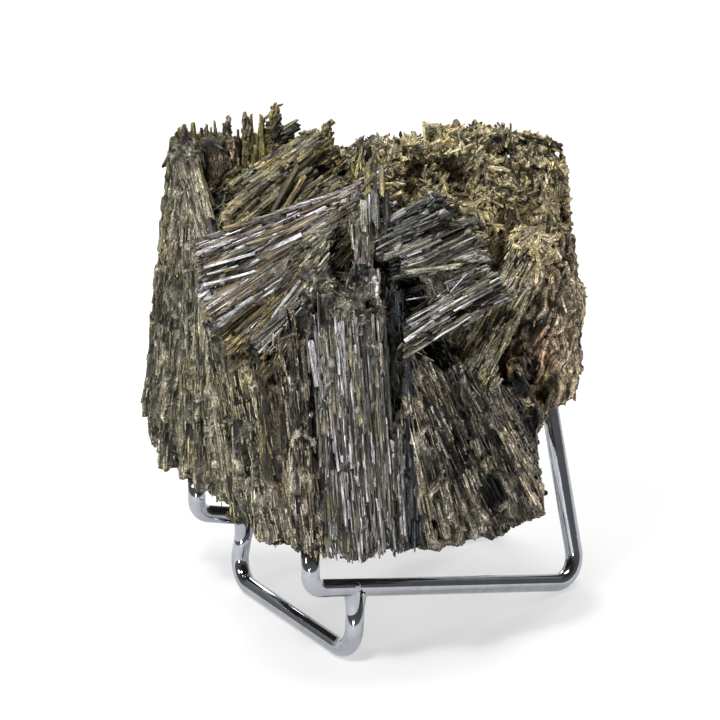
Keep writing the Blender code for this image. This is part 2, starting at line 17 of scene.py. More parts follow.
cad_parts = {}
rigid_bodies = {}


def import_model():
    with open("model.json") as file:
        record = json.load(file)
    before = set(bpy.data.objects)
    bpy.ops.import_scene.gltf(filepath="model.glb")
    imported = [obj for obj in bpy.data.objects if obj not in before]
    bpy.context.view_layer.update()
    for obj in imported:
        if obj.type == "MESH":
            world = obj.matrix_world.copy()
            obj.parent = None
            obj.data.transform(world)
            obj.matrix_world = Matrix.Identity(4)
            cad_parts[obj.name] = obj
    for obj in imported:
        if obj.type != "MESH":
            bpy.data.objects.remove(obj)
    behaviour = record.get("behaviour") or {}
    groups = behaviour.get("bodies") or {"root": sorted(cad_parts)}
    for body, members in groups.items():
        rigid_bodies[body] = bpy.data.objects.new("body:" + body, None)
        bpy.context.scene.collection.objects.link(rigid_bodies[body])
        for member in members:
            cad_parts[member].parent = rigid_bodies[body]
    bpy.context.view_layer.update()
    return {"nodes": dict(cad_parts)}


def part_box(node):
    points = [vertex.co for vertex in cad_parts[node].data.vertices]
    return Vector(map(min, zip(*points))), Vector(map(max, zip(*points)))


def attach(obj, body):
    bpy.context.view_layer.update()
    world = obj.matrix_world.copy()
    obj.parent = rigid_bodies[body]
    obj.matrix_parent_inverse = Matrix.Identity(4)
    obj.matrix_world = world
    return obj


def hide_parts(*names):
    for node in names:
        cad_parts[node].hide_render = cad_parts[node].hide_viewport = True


MM = 0.001
SEED = 5

# ---- wire stand, the same driving dimensions as its solids ----
WIRE_RADIUS = 2.4
WIRE_FLAT = WIRE_RADIUS * math.cos(math.pi / 12)  # the solids stand on a flat side
WIRE_SIDES = 40
FRONT_BEND = 4.5
REAR_BEND = 7.0
ARCH_BEND = 5.0
LEG_BEND = 7.0
BEND_STEPS = 18
STAND_TURN = math.radians(32.7)
REAR_MIDDLE = (49.2, 29.5)
ARM_LENGTH = 92.0
REAR_HALF_WIDTH = 20.0
FRONT_HALF_WIDTH = 28.9
ARM_RISE = 24.3
ARCH_RISE = 71.0
ARCH_LEAN = -0.04
LEG_SETBACK = 79.6
LEG_FOOT_HALF_WIDTH = 29.8
WELD_FROM_FRONT = 0.159
TIP_GAP = 0.2  # between the stone and the wire's tips
SEAT_STEPS = 8  # rounds that find the arch's apex
NECK_LENGTH = 8.5  # fillet of weld metal under each arm
NECK_RADIUS = WIRE_RADIUS * 0.99
NECK_FLARE = 0.85  # how much wider it ends, in wire radii
NECK_RINGS = 12
WELD_BEADS = (((0.3, -2.0, 1.4), 0.9), ((-1.6, -1.9, -0.6), 0.7), ((2.0, -1.6, -1.2), 0.6))
BEAD_LUMP = 1.1  # size and depth of the beads' unevenness
BEAD_DEPTH = 0.16

# ---- camera and floor ----
CAMERA_PLACE = (0.0, -793.67, 367.06)
CAMERA_TARGET = (0.0, 0.0, 70.0)
CAMERA_LENS = 161.14
SENSOR_WIDTH = 36.0
FLOOR_HALF = 3.0  # metres
FLOOR_GLOW = 0.57  # keeps the stone's shadow on it pale
LIGHTS_AIM = (0.0, 0.0, 0.075)  # the stone's middle, in metres

Sheaf = namedtuple("Sheaf", "look start end width_start width_end outward")
Look = namedtuple("Look", "dark light tip light_share width length scatter proud gloss cover "
                  "relief crumb pitch rods", defaults=(0.0, (3.0, 1.5)))
Grain = namedtuple("Grain", "index flow distance room local")
Marks = namedtuple("Marks", "coarse fine bundle patches lumps streaks swell pits seam gap groove "
                   "hollow hollow_depth knob knob_height")
Ground = namedtuple("Ground", "points faces normals origins hollow")
Crystals = namedtuple("Crystals", "start end out width depth taper colour tip_colour gloss")

LEFT_FRONT = (-0.75, -0.66, 0)
LEFT = (-1, 0, 0)
FRONT = (0, -1, 0)
FRONT_UP = (-0.15, -0.75, 0.65)
RIGHT_FRONT = (0.55, -0.83, 0)
RIGHT = (1, 0, 0)
BACK = (0, 1, 0)
BACK_LEFT = (-0.6, 0.8, 0)
BACK_RIGHT = (0.6, 0.8, 0)

# How the crystals of one kind look: colours (display values, 0 to 255) of the dark ones, the
# light ones and the tips, the share of light ones, width and length in millimetres, how far
# they stray from their sheaf's direction (radians), how far they stand proud, and their gloss.
# Then the share of the ground that takes them, and how deep its rods and its crumbs are cut,
# in millimetres. Where it isn't the usual: how far their lower ends lean out (radians), and
# the widths of the ground's coarse and fine rods.
LOOKS = {name: Look(*row) for name, *row in (
    ("slab", (46, 43, 30), (150, 146, 126), (122, 112, 74), 0.54, (0.3, 1.2), (3, 14),
     0.045, 0.2, 0.4, 0.55, 0.75, 0.06),
    ("ridge", (20, 18, 9), (158, 152, 132), (126, 114, 70), 0.54, (0.3, 1.2), (3, 15),
     0.045, 0.2, 0.4, 0.5, 0.9, 0.1),
    # the look "groove" is used for the ridge's right side: its darker colours are painted shade on the
    # side turned from the light
    ("groove", (20, 16, 7), (122, 112, 86), (126, 114, 70), 0.4, (0.3, 1.2), (3, 15),
     0.045, 0.2, 0.4, 0.5, 0.9, 0.1),
    ("plateau", (40, 36, 28), (128, 118, 96), (176, 154, 130), 0.44, (0.5, 1.6), (2, 6),
     0.4, 0.5, 0.2, 0.55, 0.6, 0.7, 0, (2.4, 1.3)),
    ("box", (12, 11, 7), (150, 144, 126), (160, 152, 128), 0.42, (0.8, 3.2), (4, 14),
     0.04, 0.5, 0.55, 0.6, 0.6, 0.2, 0.03),
    ("block", (18, 20, 13), (120, 117, 102), (126, 118, 96), 0.44, (0.5, 1.8), (3, 10),
     0.08, 0.5, 0.55, 0.6, 0.6, 0.2, 0.03),
    ("prism", (22, 22, 20), (158, 156, 152), (166, 162, 156), 0.5, (0.9, 2.4), (6, 16),
     0.04, 0.5, 0.75, 0.8, 0.5, 0.2, 0.03),
    ("fibre", (4, 4, 3), (172, 163, 146), (116, 106, 72), 0.42, (0.3, 1.2), (3, 18),
     0.035, 0.3, 0.35, 0.55, 1.3, 0.08),
    ("bright", (12, 11, 9), (122, 120, 114), (140, 130, 104), 0.44, (0.3, 1.5), (12, 48),
     0.012, 0.25, 0.9, 0.6, 1.2, 0.04, 0.03),
    ("gloss", (11, 11, 10), (122, 121, 118), (140, 132, 116), 0.44, (0.3, 1.7), (12, 48),
     0.012, 0.25, 0.95, 0.6, 1.2, 0.04, 0.03),
    # the look "dark" is painted shade of the recessed dark column, and its blue-black a painted
    # reflection of dark surroundings
    ("dark", (3, 4, 6), (84, 90, 98), (84, 88, 90), 0.46, (0.3, 1.2), (8, 30),
     0.015, 0.4, 0.6, 0.5, 1.1, 0.06),
    ("fan", (7, 6, 5), (112, 106, 96), (134, 116, 76), 0.48, (0.35, 1.9), (8, 32),
     0.02, 0.6, 0.95, 0.65, 1.1, 0.06),
    ("fan_low", (10, 9, 5), (118, 106, 74), (134, 116, 70), 0.42, (0.35, 1.7), (8, 32),
     0.02, 0.6, 0.6, 0.65, 1.1, 0.06),
    ("log", (8, 8, 4), (122, 116, 88), (128, 116, 76), 0.38, (0.8, 3), (3, 12),
     0.07, 0.7, 0.5, 0.5, 1.2, 0.3, 0.02),
    ("olive", (22, 20, 9), (126, 117, 78), (146, 134, 84), 0.46, (0.5, 2.2), (3, 12),
     0.18, 0.8, 0.4, 0.4, 0.8, 0.6),
    ("nodule", (10, 10, 7), (122, 120, 104), (130, 122, 96), 0.42, (0.4, 1.5), (1, 3.2),
     0.9, 0.8, 0.35, 0.55, 0.4, 0.75),
    ("blade", (7, 7, 7), (138, 136, 128), (140, 136, 122), 0.54, (0.35, 2), (6, 26),
     0.05, 0.7, 0.8, 0.6, 1.3, 0.12),
    ("band", (20, 20, 14), (146, 139, 118), (140, 130, 96), 0.68, (0.4, 2), (4, 16),
     0.09, 0.7, 0.4, 0.45, 0.75, 0.35, 0.04),
    ("flank", (72, 64, 48), (190, 173, 144), (178, 158, 128), 0.72, (0.6, 2.2), (1.5, 5),
     0.6, 0.6, 0.1, 0.1, 0.12, 1.2, 0, (2.6, 1.3)),
    ("back", (22, 19, 11), (134, 127, 108), (122, 110, 74), 0.46, (0.4, 1.8), (4, 20),
     0.035, 0.3, 0.45, 0.42, 0.95, 0.15, 0.02),
    ("hay", (24, 24, 14), (152, 142, 112), (172, 158, 118), 0.62, (0.9, 2.4), (3, 9),
     1, 1.2, 0.35, 0.35, 0.3, 1.1, 0, (2.6, 1.3)),
    # the underside's darker colours are painted shade under the stone
    ("under", (18, 18, 13), (80, 74, 56), (104, 94, 66), 0.36, (0.8, 3), (3, 9),
     0.15, 0.9, 0.3, 0.3, 0.5, 0.3),
)}
AMBER = (98, 84, 48)  # thin brownish-olive crystals that pass light
AMBER_SHARE = 0.07
WARM_TINT = (1.09, 0.99, 0.72)  # brownish patches, over the rest
PAINTED_GLINT_COLOUR = (196, 193, 196)  # painted highlight: a light colour that stands in for the glints on glossy crystals
# share of the glossy crystals that take the painted glint colour
PAINTED_GLINT_SHARE = 0.26
GLOSSY = 0.7  # gloss from which faces are flat and may take the painted glint colour
VERY_GLOSSY = 0.85

# Bundles of parallel or fanned crystals: their look and then their name, middle of the top
# end, middle of the lower end, width at each, and the side that they face.
SHEAVES = [Sheaf(name.split()[0], *row) for name, *row in (
    # left side and the slab that faces left
    ("slab left edge", (-44.8, 3, 129), (-52.8, 9, 47), 9, 13, LEFT_FRONT),
    ("slab left side", (-45, 12, 127), (-52, 25, 42), 9, 17, LEFT),
    ("slab left rear", (-43, 20, 118), (-50, 35, 46), 9, 12, BACK_LEFT),
    ("slab outer", (-42, -4, 121), (-45, 4, 33.6), 9, 19, LEFT_FRONT),
    ("slab middle", (-39, -12, 108), (-36, -9, 35), 8, 15, LEFT_FRONT),
    ("slab inner", (-38, -20, 86), (-27, -27, 35), 9, 14, LEFT_FRONT),
    ("ridge left", (-30, -32, 86), (-21, -39, 35), 6, 9, LEFT_FRONT),
    # the ridge's right side takes the darker look "groove", painted shade
    ("groove ridge right", (-22, -38, 88), (-13, -43, 35), 9, 10, (-0.3, -0.95, 0)),
    ("plateau", (-39, 8, 129), (-37, 6, 108), 13, 11, (0.1, -1, 0)),
    ("box wall", (-44, -3, 126), (-38, -15, 107), 5, 4, FRONT),
    # long column of the middle front
    ("fibre column left", (-14, -42, 101), (-7, -45, 34.6), 9, 9, FRONT),
    ("bright column", (-7, -44, 104), (-1, -46, 34.4), 8, 7, FRONT),
    ("gloss column", (0, -44, 102), (4, -46, 34.5), 7, 6, FRONT),
    # the dark column's colours are painted shade of its recess and a painted reflection of dark
    # surroundings
    ("dark column", (8, -40, 104), (9, -43, 34.8), 6, 8, FRONT),
    # broad fan whose rays spread to the left from one focus
    ("fan top", (3, -23, 123), (-40, -24, 105), 5, 10, FRONT_UP),
    ("fan middle", (1, -27, 121), (-39, -28, 96), 5, 10, FRONT_UP),
    ("fan_low lower", (-1, -31, 117), (-35, -32, 87), 5, 10, FRONT_UP),
    ("fan_low foot", (-3, -34, 114), (-27, -36, 85), 5, 9, FRONT_UP),
    ("block fan bundle", (-2, -34, 121), (-15, -36, 110), 3, 7, FRONT_UP),
    ("bright fan streak", (-5, -37, 109), (-23, -40, 88), 3, 5, FRONT),
    # thick log of parallel crystals behind the fan
    ("log upper", (-10, 8, 128), (-37, -6, 112), 7, 9, FRONT_UP),
    ("log middle", (-6, 5, 126), (-37, -13, 106), 10, 9, FRONT_UP),
    ("log lower", (-4, -5, 121), (-29, -17, 106), 6, 6, FRONT_UP),
    # upright prisms and blocks over the column
    ("olive peak", (4, -12, 131), (3, -27, 115), 9, 8, FRONT),
    ("prism upright prisms", (1, -29, 125), (1, -39, 110), 5, 4, FRONT),
    ("prism upright blocks", (1, -39, 108), (1, -43, 101), 5, 5, FRONT),
    # blades right of the middle, with a hollow under them
    ("blade top", (21, -27, 120), (3, -35, 114), 7, 6, FRONT_UP),
    ("blade middle", (29, -27, 115), (6, -37, 109), 6, 6, FRONT_UP),
    ("blade lower", (31, -27, 107), (9, -35, 103), 5, 4, FRONT),
    ("box cross prisms", (16, -29, 109), (20, -34, 98), 6, 5, FRONT),
    ("bright blade long", (35, -27, 101), (11, -40, 92), 7, 6, FRONT),
    ("bright blade short", (22, -37, 96), (9, -43, 90), 3, 3, FRONT),
    # lower right fibres, which run down to the right
    ("fibre slant inner", (11, -42, 74), (17, -41, 35), 8, 13, FRONT),
    ("fibre slant middle", (12, -41, 86), (29, -35, 35.5), 8, 13, (0.2, -0.98, 0)),
    ("fibre slant long", (19, -37, 86), (38, -31, 36), 8, 12, RIGHT_FRONT),
    ("fibre slant outer", (28, -30, 81), (47, -23, 37), 8, 11, RIGHT_FRONT),
    ("fibre corner block", (38, -22, 74), (47, -11, 46), 8, 9, RIGHT_FRONT),
    # band that curves down from the right shoulder, and the weathered right flank
    ("band shoulder", (46, -12, 106), (28, -32, 78), 8, 7, RIGHT_FRONT),
    ("flank shoulder outer", (50, -6, 95), (38, -22, 66), 9, 9, RIGHT_FRONT),
    ("flank top", (49, 5, 122), (52, 2, 88), 10, 12, (0.85, -0.5, 0)),
    ("flank bulge", (53.5, 1, 92), (52, -2, 58), 12, 12, (0.85, -0.5, 0)),
    ("flank low", (49, 2, 66), (43, 4, 42), 12, 10, RIGHT),
    ("flank side top", (51.5, 16, 118), (54, 18, 66), 14, 14, RIGHT),
    ("back side rear", (45, 24, 112), (51, 30, 64), 10, 9, BACK_RIGHT),
    # back: slabs of parallel crystals in steps, leaning different ways
    ("back left top", (-36, 22, 116), (-42, 34, 72), 12, 14, BACK_LEFT),
    ("back left foot", (-40, 36, 84), (-43, 37, 40), 12, 14, BACK_LEFT),
    ("back slab top", (-24, 22, 114), (-30, 35, 74), 13, 15, BACK),
    ("back slab foot", (-24, 38, 88), (-30, 40, 37), 14, 15, BACK),
    ("back middle", (-14, 25, 119), (-12, 39, 62), 13, 14, BACK),
    ("back middle foot", (-12, 41, 76), (-14, 42, 36), 12, 15, BACK),
    ("back wide", (0, 26, 122), (4, 42, 38), 14, 16, BACK),
    ("back right", (14, 27, 122), (19, 39, 40), 13, 14, BACK),
    ("back shoulder", (30, 26, 119), (34, 36, 66), 14, 13, BACK),
    ("back foot", (28, 35, 66), (31, 24, 41), 13, 12, BACK_RIGHT),
    ("back log", (10, 34, 100), (-22, 36, 82), 9, 11, (0, 0.9, 0.4)),
    ("back cross", (42, 36, 80), (18, 41, 62), 7, 8, BACK),
)]
# Free crystals that stand up along the left part of the crest: foot, tip and width.
SPIKES = (
    ((-46.5, 7, 122), (-46.8, 7, 131.5), 2.6),
    ((-44.6, 7, 122), (-45.2, 7, 132.4), 2.4),
    ((-42.8, 8, 121), (-43.2, 8, 132.2), 2.4),
    ((-40.6, 8, 121), (-41, 8, 131), 2.8),
    ((-38.4, 9, 120), (-38.6, 9, 131), 2.6),
    ((-37.2, 9, 120), (-37.6, 9, 132.6), 1.6),
    ((-34.6, 9, 116), (-34.2, 9, 134), 2.6),
    ((-31.8, 9, 114), (-31.6, 9, 130.4), 2.6),
    ((-29.6, 10, 112), (-29.2, 10, 130.8), 2.8),
    ((-27.8, 11, 110), (-28.2, 10, 134.2), 3),
    ((-25.8, 11, 108), (-25.6, 11, 133.6), 3),
    ((-24.2, 12, 108), (-23.9, 12, 131.6), 3),
    ((-22.6, 12, 108), (-22.7, 12, 135.4), 3),
    ((-21, 12, 108), (-20.2, 12, 130.6), 2.8),
    ((-19.2, 12, 108), (-17.8, 12, 129), 2.4),
    ((-13.5, 7, 118), (-11.5, 8, 130.6), 3),
    ((-12, 8, 118), (-9.2, 9, 131.8), 3),
    ((-9.5, 7, 118), (-7, 8, 128.5), 2.6),
)
# Single crystals that stand out on the front: both ends, width and look; those of the look "gloss"
# take the painted glint colour.
LONE_CRYSTALS = (
    ((11, -45.2, 91.9), (18.3, -41.6, 95.9), 1.3, "gloss"),
    ((23.5, -38.6, 97.5), (33, -33.4, 101.3), 1.1, "gloss"),
    ((6, -34, 118.9), (11, -31.8, 121.5), 2, "gloss"),
    ((5.5, -35.2, 116.8), (13.5, -31.9, 119.9), 0.9, "gloss"),
    ((11.5, -38.4, 107.6), (25, -34.8, 108.1), 1.8, "box"),
    ((-12.1, -46.4, 91.5), (-10.5, -47, 80.5), 2, "gloss"),
    ((-5, -49.2, 98), (-2.8, -49.4, 76), 1.5, "gloss"),
    ((-0.3, -49.7, 84), (1.2, -50.2, 60), 1.2, "gloss"),
    ((-38.6, -31.8, 106.7), (-26.5, -31.1, 110), 1.1, "gloss"),
    ((-38.2, -32, 104.8), (-30.5, -31.8, 107), 0.8, "gloss"),
    ((-38.9, -32.6, 102.2), (-26, -33, 106), 1, "gloss"),
    ((-38.9, -33.1, 98.5), (-32, -34, 101), 1.2, "gloss"),
    ((-27, -38.9, 88.6), (-15, -37.9, 105), 1.3, "gloss"),
    ((3.7, -34.8, 127.2), (3.8, -35.6, 119.8), 2.5, "prism"),
    ((6.4, -34.2, 127), (6.6, -35, 119.4), 2.3, "box"),
    ((2.3, -35.2, 126.8), (2.4, -36, 120), 0.7, "gloss"),
    ((0.8, -35.8, 125.4), (0.9, -37.8, 115.6), 2.4, "prism"),
    ((1.8, -28.5, 131.6), (2, -34.6, 126.4), 1.7, "olive"),
    ((3.6, -27.5, 132.2), (3.7, -34.2, 126.6), 1.6, "olive"),
    ((5.3, -27.5, 131.4), (5.4, -34, 126.4), 1.6, "olive"),
    ((0.2, -33.6, 127.2), (3.4, -32, 131), 1.5, "olive"),
    ((-22.4, -12.4, 115), (-15.9, -4.6, 124.8), 2.4, "olive"),
    ((-20, -13, 114.4), (-14.4, -6.6, 122.4), 1.8, "olive"),
)
# Hollows between the bundles, darkened in colour as painted shade: middle, half sizes and how far the
# surface draws back.
HOLLOWS = (
    ((-4.6, -36, 110), (3.6, 9, 10), 8),
    ((12.8, -37, 102), (6.4, 9, 7.5), 9),
    ((-36.5, -6, 117), (4, 7, 7), 6),
    ((-9, -4, 124), (3.2, 7, 4), 6),
    ((-11, -20, 119), (6, 8, 4), 4),
    ((-27, 12, 124), (3, 5, 2.5), 4),
    ((10, -12, 124), (3.5, 9, 7), 6),
    ((33, -36, 46), (5, 6, 6), 3.5),
    ((25, -39, 60), (3, 6, 8), 3),
    ((12.5, -41, 69), (4, 6, 4), 3),
    ((18, -41, 56), (2.6, 6, 7), 3),
    ((15, -42, 42), (6, 6, 3.5), 2.5),
    ((36, -30, 92), (5, 8, 3), 4),
    ((24, -32, 107), (7, 7, 1.6), 3),
    ((-9.5, -45, 100), (2.6, 6, 5), 5),
    ((-2, -43, 108), (5, 6, 2.5), 4),
    ((8, -38, 108), (2.6, 7, 5), 5),
    ((21, -36, 84), (5, 7, 3), 4),
    ((44, -18, 74), (3, 6, 5), 3.5),
    ((8.4, -43, 88), (2.8, 7, 26), 4),
    ((-11.2, -45, 82), (1.6, 6, 15), 3),
)
HOLLOW_INWARD = (0.0, 0.9, -0.4)
HOLLOW_EDGE = 0.3  # how far inside one a crystal's end may reach
HOLLOW_SHADE = 0.72  # how much darker the crystals down in them are
# Pinkish-tan weathering of the right flank: middle, half sizes and strength; and its tint.
RUST = (((45, -14, 75), (10, 14, 12), 1.0), ((53, 14, 92), (8, 12, 14), 1.0))
RUST_TINT = (1.12, 0.82, 0.72)
# Corners that are worn off: a point and the outward normal of the worn face, in front of
# which depth it is worn, and between which heights.
TRIMS = (
    ((-30.8, 0, 46), (-0.885, 0, -0.466), -26, (30, 60)),
    ((46, 0, 51), (0.97, 0, 0.1), -6, (30, 60)),
    ((54, 0, 112), (1, 0, 0.1), 60, (98, 140)),
    ((40.4, 10, 131.6), (0.424, 0.317, 0.849), 60, (100, 160)),
)
TRIM_FADE = 3.0  # the wear ends over this height
# Rough knobs that stand out: middle, half sizes and how far the surface comes out.
KNOBS = (
    ((-11, -34, 111), (8, 9, 7), 1),
    ((-2, -13, 130), (8, 9, 7), 1.3),
    ((8, 2, 126), (9, 9, 6), 2.6),
    ((28, 6, 126), (8, 9, 6), 2.6),
    ((-52, 10, 108), (12, 30, 36), 1),
    ((-55, 12, 41), (6, 9, 9), 2.4),
    ((44, -14, 108), (8, 8, 8), 2),
    ((52, 0, 84), (7, 9, 12), 1.8),
    ((15, -41, 90), (5, 7, 4), 1.6),
)

# ---- how the stone is covered ----
SKIN_VOXEL = 0.70 * MM  # size of the ground's facets
BUNDLE_WIDTH, BUNDLE_LENGTH = 5.5, 26.0  # bundles of rods, with seams between them
LUMP, PIT, SWELL, PATCH = (size * MM for size in (1.6, 3.0, 6.0, 8.0))
RUST_PATCH, WARM_PATCH = 4.0 * MM, 5.0 * MM
WANDER = 3.6 * MM  # how far the sheaves' borders wander
WANDER_SIZE = 5.0 * MM
BORDER = 7.0 * MM  # spots further from a sheaf are between sheaves
GRAIN_STEP = 37.0  # keeps the grains of the sheaves apart
UNDER_TOP = 45  # the underside is below this; there the faces that look down take the darker look "under", painted shade
FRINGE_TOP = 52  # below this no end hangs off the stone
DOWNWARD = -0.4  # faces look down whose normal's height is less
TOP_FROM = 100  # the olive crest is above this
# Rock under the upright prisms, its limits in the design frame and the looks that it leaves.
ROCK_LEFT, ROCK_RIGHT, ROCK_FRONT, ROCK_FOOT, ROCK_TOP = -16, 7, -38, 94, 108
ROCK_KEEPS = ("fan", "fan_low", "box", "block", "prism")
# Blades at all angles over the right half of the top: near a sheaf only above HAY_HIGH.
HAY_LEFT, HAY_FRONT, HAY_FOOT, HAY_HIGH = 7, -24, 105, 116
HAY_BORDER = 4.5 * MM
HAY_SLOPE_TOP, HAY_SLOPE = 112, 0.35  # they stand above a line that falls to the right
HAY_CALM_LEFT = 24  # right of this they stand out less
FLANK_LEFT, FLANK_FOOT = 44, 74  # the weathered right flank
SLENDER_RIGHT, SLENDER_FROM = -5, 127  # the crest's free crystals keep their outline
SPIKE_TAPER = 0.45  # width of a spike crystal's tip over its foot
SPIKE_BUNCH = 10  # crystals that make up each spike
SURFACE_CRYSTALS = 74000  # spots tried, not all of which get one
HAY_CRYSTALS = 2600
HAY_TRIES = 12  # spots looked at for each of them
END_ON = 0.80  # crystals nearer the normal are short stubs
CRUMBLY = 0.12  # stubs stand only on ground as crumbly as this
GIRTH = 2.6  # a crystal's girth over its width
LATH_WIDTH = 1.3 * MM  # crystals narrower than this are needles
DEEPEST = 1.0 * MM  # most depth of a crystal of the surface
SHORTEST = 0.8 * MM  # crystals that end up shorter are left out
DRAW_BACK_ROUNDS = 5  # most times that an end is drawn back
SHORTENED = 0.66  # share of its length that a crystal keeps each time
TOP_SPARE, LOWER_SPARE = 2.0 * MM, 0.3 * MM  # how far ends may pass their sheaf's ends
PIECE_TRIANGLES = 190000  # most triangles in one piece
SIDE_SPARE = 0.4 * MM  # how far crystals may pass the solid's box
FOOT_SPARE = 0.6 * MM  # crumbs and tips that hang below the solid's foot
FOOT_WAVE = 5.0 * MM  # size of the foot's waves


# ---- numbers and places ----
def linear(colour):
    """A display colour, 0 to 255, as scene-linear numbers."""
    share = np.asarray(colour, dtype=float) / 255.0
    return np.where(share <= 0.04045, share / 12.92, ((share + 0.055) / 1.055) ** 2.4)


def unit(vectors):
    """Rows of vectors at length one."""
    return vectors / np.maximum(np.linalg.norm(vectors, axis=-1, keepdims=True), 1e-12)


def rowdot(first, second):
    """Dot products, row by row, as a column."""
    return np.sum(first * second, axis=-1, keepdims=True)


def between(limits, share):
    """Numbers between the two limits of each row, at a share of the way."""
    low, high = limits.T
    return low + (high - low) * share


def fade(values, start, width):
    """How far the values are past a start, 0 to 1, over a width that may be negative."""
    return np.clip((values - start) / width, 0, 1)


def rows_of(record, chosen):
    """The chosen rows of a record whose fields are arrays."""
    return type(record)(*(field[chosen] for field in record))


def place(point):
    """A design-frame point in millimetres as a packed-frame point in metres."""
    return (Vector(point) + SHIFT) * MM


def in_design(spots):
    """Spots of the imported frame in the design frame's millimetres."""
    return spots / MM - np.array(SHIFT)


NOISE_TURN = np.array(Matrix.Rotation(0.7, 3, Vector((0.5, 0.7, 0.3)).normalized()))


def chance(cells, seed=0):
    """A fixed random number, 0 to 1, for each row of whole numbers."""
    primes = np.array((73856093, 19349663, 83492791), dtype=np.int64)
    mixed = (np.asarray(cells, dtype=np.int64) * primes[:cells.shape[-1]]).sum(axis=-1)
    mixed = (mixed + seed * 668265263) & 0x7FFFFFFF
    mixed = ((mixed ^ (mixed >> 15)) * 2246822519) & 0x7FFFFFFF
    mixed = ((mixed ^ (mixed >> 13)) * 3266489917) & 0x7FFFFFFF
    return (mixed ^ (mixed >> 16)) / 0x7FFFFFFF


def smooth_noise(places, seed=0):
    """Smooth noise, 0 to 1, with lumps about one unit of the places across."""
    cell = np.floor(places).astype(np.int64)
    share = places - cell
    share = share * share * (3 - 2 * share)
    total = np.zeros(len(places))
    for corner in np.ndindex(2, 2, 2):
        weight = np.prod(np.where(corner, share, 1 - share), axis=1)
        total += weight * chance(cell + np.array(corner), seed)
    return total


def layered_noise(places, layers=3, seed=0):
    """Smooth noise with finer layers on it, still 0 to 1."""
    places = places @ NOISE_TURN
    total, weight = np.zeros(len(places)), 0.0
    for layer in range(layers):
        total += smooth_noise(places * 2.0 ** layer, seed + layer) * 0.55 ** layer
        weight += 0.55 ** layer
    return total / weight


def patch_noise(spots, size, seed=0):
    """Smooth noise between -1 and 1 over patches of a size in metres."""
    return smooth_noise(spots / size + 50.0, seed) * 2 - 1


def rods(grain, width, length, seed):
    """Level of the rod at each grain place, 0 to 1, and how near its side edge is, 0 to 1."""
    warp = (smooth_noise(grain * (0.30, 0.30, 0.035), seed + 1) * 1.8
            + smooth_noise(grain * (0.5, 0.5, 0.06), seed + 6) * 0.7)
    across = grain[:, 0] / width + warp
    row = np.floor(across)
    out = grain[:, 1] / width / 2.4 + chance(np.stack((row, row * 0), -1), seed + 2) + warp * 0.5
    cell = np.stack((row, np.floor(out)), -1)
    start = chance(cell, seed + 3) * 7.0
    stretch = 0.5 + chance(cell, seed + 4)
    segment = np.floor(grain[:, 2] / (length * stretch) + start)
    level = chance(np.column_stack((cell, segment)), seed + 5)
    return level, np.abs((across - row) * 2 - 1)


def inside_share(spots, places):
    """How far inside one of the places each spot is, 0 to 1, and how far that one moves it."""
    share, depth = np.zeros(len(spots)), np.zeros(len(spots))
    for middle, half_sizes, drawn in places:
        aside = (spots - np.array(place(middle))) / MM / np.array(half_sizes)
        inside = np.clip(1 - np.linalg.norm(aside, axis=1), 0, 1)
        inside = np.minimum(inside * 2.5, 1.0)
        depth = np.where(inside > share, drawn, depth)
        share = np.maximum(share, inside)
    return share, depth


def trimmed(spots, amount=1.0):
    """Draws spots that pass a trim plane back towards it by a share of the way."""
    for middle, normal, nearest_y, (low_z, high_z) in TRIMS:
        design = in_design(spots)
        normal = unit(np.array(normal))
        beyond = np.clip((design - np.array(middle)) @ normal, 0.0, None)
        worn = fade(design[:, 2], high_z, -TRIM_FADE) * (design[:, 2] > low_z)
        beyond *= worn * (design[:, 1] < nearest_y) * amount
        spots = spots - normal * (beyond * MM)[:, None]
    return spots


def inside_box(spots, spare):
    """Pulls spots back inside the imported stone's box, but for a spare width and a wavy foot."""
    low, high = (np.array(corner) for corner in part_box("epidote"))
    spots = np.clip(spots, low - (spare, spare, FOOT_SPARE), high + spare)
    across = np.column_stack((spots[:, :2], np.zeros(len(spots))))
    wave = layered_noise(across / FOOT_WAVE, 2, 150) * 2.4 - 1.2
    spots[:, 2] = np.maximum(spots[:, 2], low[2] + wave * FOOT_SPARE)
    return spots


# ---- meshes ----
def read(items, field, each, kind=float):
    """One field of a mesh's items as an array with a row for each."""
    values = np.empty(len(items) * each, dtype=kind)
    items.foreach_get(field, values)
    return values.reshape(-1, each)


def node_mesh(name):
    """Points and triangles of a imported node, in metres."""
    mesh = frame["nodes"][name].data
    mesh.calc_loop_triangles()
    return read(mesh.vertices, "co", 3), read(mesh.loop_triangles, "vertices", 3, np.int32)


def linked(name, data):
    """A new object in the scene."""
    item = bpy.data.objects.new(name, data)
    bpy.context.scene.collection.objects.link(item)
    return item


def new_mesh(name, points, faces):
    """A mesh from points in metres and faces."""
    mesh = bpy.data.meshes.new(name)
    mesh.from_pydata(points, [], faces)
    return mesh


def mesh_piece(name, mesh, material, smooth=True):
    """A mesh with its material as an object that rides on the one body."""
    mesh.materials.append(material)
    mesh.polygons.foreach_set("use_smooth", [smooth] * len(mesh.polygons))
    mesh.update()
    piece = linked(name, mesh)
    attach(piece, "root")
    return piece


